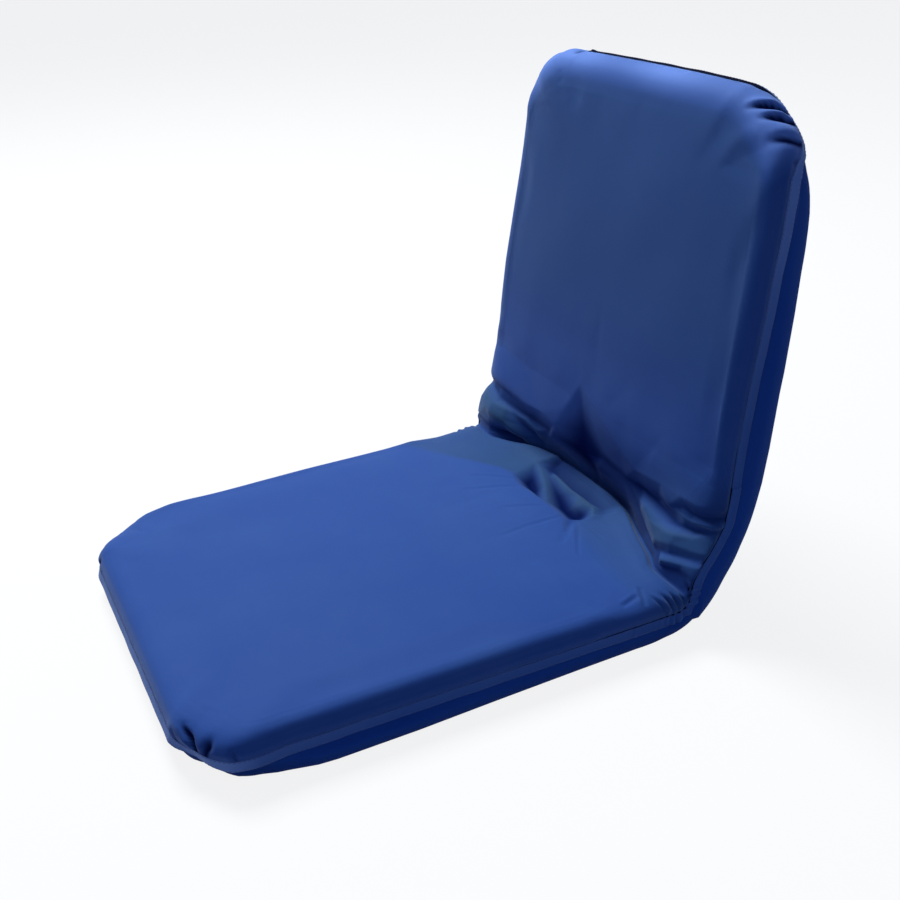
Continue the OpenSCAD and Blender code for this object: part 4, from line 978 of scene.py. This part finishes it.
# Stitching of the seam strip: two rows of lock stitches in navy polyester thread, 3 mm long at a
# 4 mm pitch, one row close to each edge of the strip, sunk a little into the cloth.

def stitch_row(share, proud):
    """Centres, thread directions and outward directions of the stitches of one row, equally spaced
    along the strip at this share of its width."""
    s = np.arange(2 * mm, cut[-1] - 2 * mm, 4 * mm)

    def at_stitches(line):
        """The values of a closed line of points at the stitches."""
        return np.stack([np.interp(s, cut, np.append(line[:, i], line[0, i])) for i in range(3)], 1)

    lift = (proud + np.interp(s, cut, np.append(pucker, pucker[0])) * 0.5) * mm
    outward = at_stitches(outward_line)
    middle = at_stitches(top_line + (low_line - top_line) * share) + outward * lift[:, None]
    return middle, at_stitches(tangent), outward


thread_r, thread_l = 0.22 * mm, 1.5 * mm
rows = [np.concatenate(pair) for pair in zip(stitch_row(0.13, 0.58), stitch_row(0.87, 0.58))]
centre, ahead, up = [row[:, None, None, :] for row in rows]
ahead, up = unit(ahead), unit(up)
across = np.cross(ahead, up)
# Each stitch is four rings of six points: thin at its ends, which dip into the cloth, full between
ring_at = np.array([-1, -0.62, 0.62, 1])[None, :, None, None] * thread_l
ring_r = np.array([0.3, 1, 1, 0.3])[None, :, None, None] * thread_r
dip = np.array([-0.8, 0.1, 0.1, -0.8])[None, :, None, None] * thread_r
round_thread = np.linspace(0, 2 * np.pi, 6, endpoint=False)[None, None, :, None]
threads = (centre + ahead * ring_at + up * (dip + ring_r * np.cos(round_thread))
           + across * ring_r * np.sin(round_thread))
k = np.arange(6)
after = (k + 1) % 6
walls = np.concatenate([np.stack([k, after, 6 + after, 6 + k], 1) + 6 * ring for ring in range(3)])
caps = np.array([[0, 3, 2, 1], [0, 5, 4, 3], [18, 19, 20, 21], [18, 21, 22, 23]])
faces = np.concatenate([walls, caps])[None] + 24 * np.arange(len(threads))[:, None, None]
stitch_mesh = bpy.data.meshes.new("seam_stitches")
stitch_mesh.from_pydata(threads.reshape(-1, 3).tolist(), [], faces.reshape(-1, 4).tolist())
stitch_mesh.polygons.foreach_set("use_smooth", np.ones(faces.shape[0] * faces.shape[1], bool))
stitch_mesh.update()
stitches = bpy.data.objects.new("seam_stitches", stitch_mesh)
scene.collection.objects.link(stitches)
# Polyester sewing thread, navy: twisted, so it has fine slanting bands and a low shine
navy_thread, tree, out = material("polyester_sewing_thread")
where = node(tree, "ShaderNodeTexCoord")
twist = node(tree, "ShaderNodeTexWave", {"Vector": where.outputs["Object"]}, Scale=700.0, Distortion=1.5,
             bands_direction="DIAGONAL")
tone = node(tree, "ShaderNodeMix", {0: twist.outputs["Fac"]}, data_type="RGBA", in_6=linear("#14285C"),
            in_7=linear("#2A4688"))
bump = node(tree, "ShaderNodeBump", {"Height": twist.outputs["Fac"]}, Strength=0.5, Distance=0.05 * mm)
shader = node(tree, "ShaderNodeBsdfPrincipled", {"Base Color": tone.outputs[2], "Normal": bump.outputs[0]},
              Roughness=0.5)
tree.links.new(shader.outputs[0], out.inputs["Surface"])
stitch_mesh.materials.append(navy_thread)
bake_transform(stitches)


# Foam of the two pads: grey open-cell polyurethane at 25 kg per cubic metre, cut with a band knife
# into four slabs and bonded over the frame. In each pad one slab lies over the webbing, and a thicker
# and smaller one lies round the frame tube. All are inside the cover.

def slab(name, sign, start, inset, top, bottom, crown_up):
    """A closed slab between two levels, for the seat (-1) or the back (1). Its outline is the pad's
    drawn in by inset, its upper and lower edges are quarter ellipses 5 mm wide, and its upper face
    rises as one minus the square of the share of the way in from the edge."""
    edge = 5 * mm
    far, w = (seat_l, seat_w) if sign < 0 else (back_l, back_w)
    rows = start + (far - inset - start) * (0.5 - 0.5 * np.cos(np.linspace(0, np.pi, 61)))
    sx = spread(61, 0.4)[None, :] * panel_width(sign * rows, -inset)[:, None]
    sy = np.repeat(rows[:, None], 61, 1)
    d = np.minimum(inside(sx, sign * sy)[0] - inset, sy - start)
    bend_up = np.sqrt(np.maximum(1 - (1 - np.clip(d / edge, 0, 1)) ** 2, 0))
    rise = crown_up * (1 - (1 - np.clip((d - edge) / (0.8 * w), 0, 1)) ** 2)
    mid = (top + bottom) / 2
    upper = np.stack([sx, sy, mid + (top - mid) * bend_up + rise], -1)
    lower = np.stack([sx, sy, mid + (bottom - mid) * bend_up], -1)
    both = np.concatenate([upper, lower[::-1], upper[:1]])
    o = grid_mesh(name, place(both[..., 0], *pad_place(sign * both[..., 1], both[..., 2])), flip=sign > 0)
    # The grid is folded over, so its edges lie on each other: they are joined into one closed form
    b = bmesh.new()
    b.from_mesh(o.data)
    bmesh.ops.remove_doubles(b, verts=b.verts, dist=0.02 * mm)
    bmesh.ops.dissolve_degenerate(b, edges=b.edges, dist=0.005 * mm)
    bmesh.ops.recalc_face_normals(b, faces=b.faces)
    b.to_mesh(o.data)
    b.free()
    return o


def pattern(tree, size, low=0.35, high=0.65, detail=3.0, ribs=None):
    """A pattern over the object's coordinates, from 0 to 1: patches about size across, as noise
    stretched from low-high to 0-1, or threads that lie size apart in the direction ribs, as a sine."""
    where = node(tree, "ShaderNodeTexCoord").outputs["Object"]
    if ribs:
        wave = node(tree, "ShaderNodeTexWave", {"Vector": where}, Scale=2 * np.pi / (20 * size),
                    Distortion=0.4, bands_direction=ribs)
        return wave.outputs["Fac"]
    noise = node(tree, "ShaderNodeTexNoise", {"Vector": where}, Scale=1 / size, Detail=detail)
    return node(tree, "ShaderNodeMapRange", {"Value": noise.outputs["Fac"]}, in_1=low, in_2=high).outputs[0]


def surface(name, dark, pale, tint, grain, distance, **shader_values):
    """A material whose colour goes from dark to pale by the pattern tint and whose bump follows the
    pattern grain, over this distance. Both patterns are settings of the function above."""
    m, tree, out = material(name)
    colour = node(tree, "ShaderNodeMix", {0: pattern(tree, **tint)}, data_type="RGBA", in_6=linear(dark),
                  in_7=linear(pale))
    bump = node(tree, "ShaderNodeBump", {"Height": pattern(tree, **grain)}, Strength=0.6, Distance=distance)
    shader = node(tree, "ShaderNodeBsdfPrincipled",
                  {"Base Color": colour.outputs[2], "Normal": bump.outputs[0]}, **shader_values)
    tree.links.new(shader.outputs[0], out.inputs["Surface"])
    return m


def dress(look, *tails):
    """Puts a material on each CAD node whose name ends with one of the tails."""
    for name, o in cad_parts.items():
        if name.endswith(tails):
            o.data.materials.clear()
            o.data.materials.append(look)


# The cut faces show the open cells, drawn 2.5 mm wide, and yellow a little
foam_grey = surface("open_cell_foam", "#7D838C", "#A19F97", {"size": 30 * mm},
                    {"size": 2.5 * mm, "low": 0.3, "high": 0.7}, 0.5 * mm, Roughness=0.95)
dress(foam_grey, "foam_upper", "foam_lower", "foam_front", "foam_rear")
# Each slab's body, its CAD node, where it starts, how far in it lies, its levels and its crown, in mm
for name, body, foam_node, *sizes in [
        ("seat_pad_upper", "seat", "seat_foam_upper", 46, 14, -10, -18, 3),
        ("seat_pad_lower", "seat", "seat_foam_lower", 60, 18, -21, -52, 0),
        ("back_pad_front", "back", "back_foam_front", 60, 14, -10, -18, 5),
        ("back_pad_rear", "back", "back_foam_rear", 84, 18, -21, -52, 0)]:
    pad = slab(name, -1 if body == "seat" else 1, *[size * mm for size in sizes])
    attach(pad, body)
    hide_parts(foam_node)
    pad.data.materials.append(foam_grey)


# Frame tubes and cross tubes: bent 16 mm steel tube, black powder coat. The coat has a fine orange
# peel, is rubbed thin in small patches, and is a little duller where dust from the foam lies on it.

powder_coat = surface("black_powder_coat", "#17181B", "#2C2E33", {"size": 9 * mm}, {"size": 0.7 * mm},
                      0.06 * mm, Roughness=0.42)
dress(powder_coat, "frame_tube", "cross_tube")


# Webbing: 38 mm woven elastic webbing in black polyester and rubber, wrapped round the tubes and
# stapled. Its ribs run along the strap, 1.5 mm apart, with lint caught between them.

strap_ribs = {"size": 1.5 * mm, "ribs": "X"}
strap = surface("woven_elastic_webbing", "#121317", "#2A2C33", strap_ribs, strap_ribs, 0.3 * mm,
                Roughness=0.85)
dress(strap, "webbing")


# Ratchet hinges: pressed steel arms, toothed wheels, cheeks, pins, pawls and rivets, zinc plated.
# The plating shows spangle 4 mm across, brighter and duller, with fine scratches.

zinc = surface("zinc_plated_steel", "#9DA2A8", "#C3C7CB",
               {"size": 4 * mm, "low": 0.42, "high": 0.58, "detail": 0.0}, {"size": 1.2 * mm}, 0.03 * mm,
               Roughness=0.34, Metallic=1.0)
dress(zinc, "arm", "cheek", "rivets", "pivot_pin", "pawl", "pawl_pin", "zip_slider")


# Pawl springs: hard-drawn steel wire, blued in an oil bath, so the sheen goes from blue to straw.
# The drawing leaves fine lines along it, 0.4 mm apart.

blued = surface("blued_spring_steel", "#3B4254", "#5E5A55", {"size": 3 * mm}, {"size": 0.4 * mm, "ribs": "X"},
                0.02 * mm, Roughness=0.3, Metallic=1.0)
dress(blued, "spring")


# Spacers on the pivot pins: moulded natural nylon, milky, with a faint satin grain from the mould.
# They are slipped over the pin on both sides of the wheel.

nylon = surface("moulded_nylon", "#D8D6CC", "#EBEAE3", {"size": 2 * mm}, {"size": 0.4 * mm}, 0.03 * mm,
                Roughness=0.45, IOR=1.53)
dress(nylon, "spacers")


# Zip across the back's lower rear: two woven polyester tapes, ribbed along their length every
# 1.2 mm, and a nylon coil whose turns lie 1.6 mm apart (1 mm on the real one).

tape_ribs = {"size": 1.2 * mm, "ribs": "Z"}
tape = surface("zip_tape_weave", "#101D42", "#20346C", tape_ribs, tape_ribs, 0.15 * mm, Roughness=0.8)
dress(tape, "zip_tapes")
turns = {"size": 1.6 * mm, "ribs": "X"}
coil = surface("nylon_zip_coil", "#0D1835", "#2E4278", turns, turns, 0.4 * mm, Roughness=0.42)
dress(coil, "zip_coil")
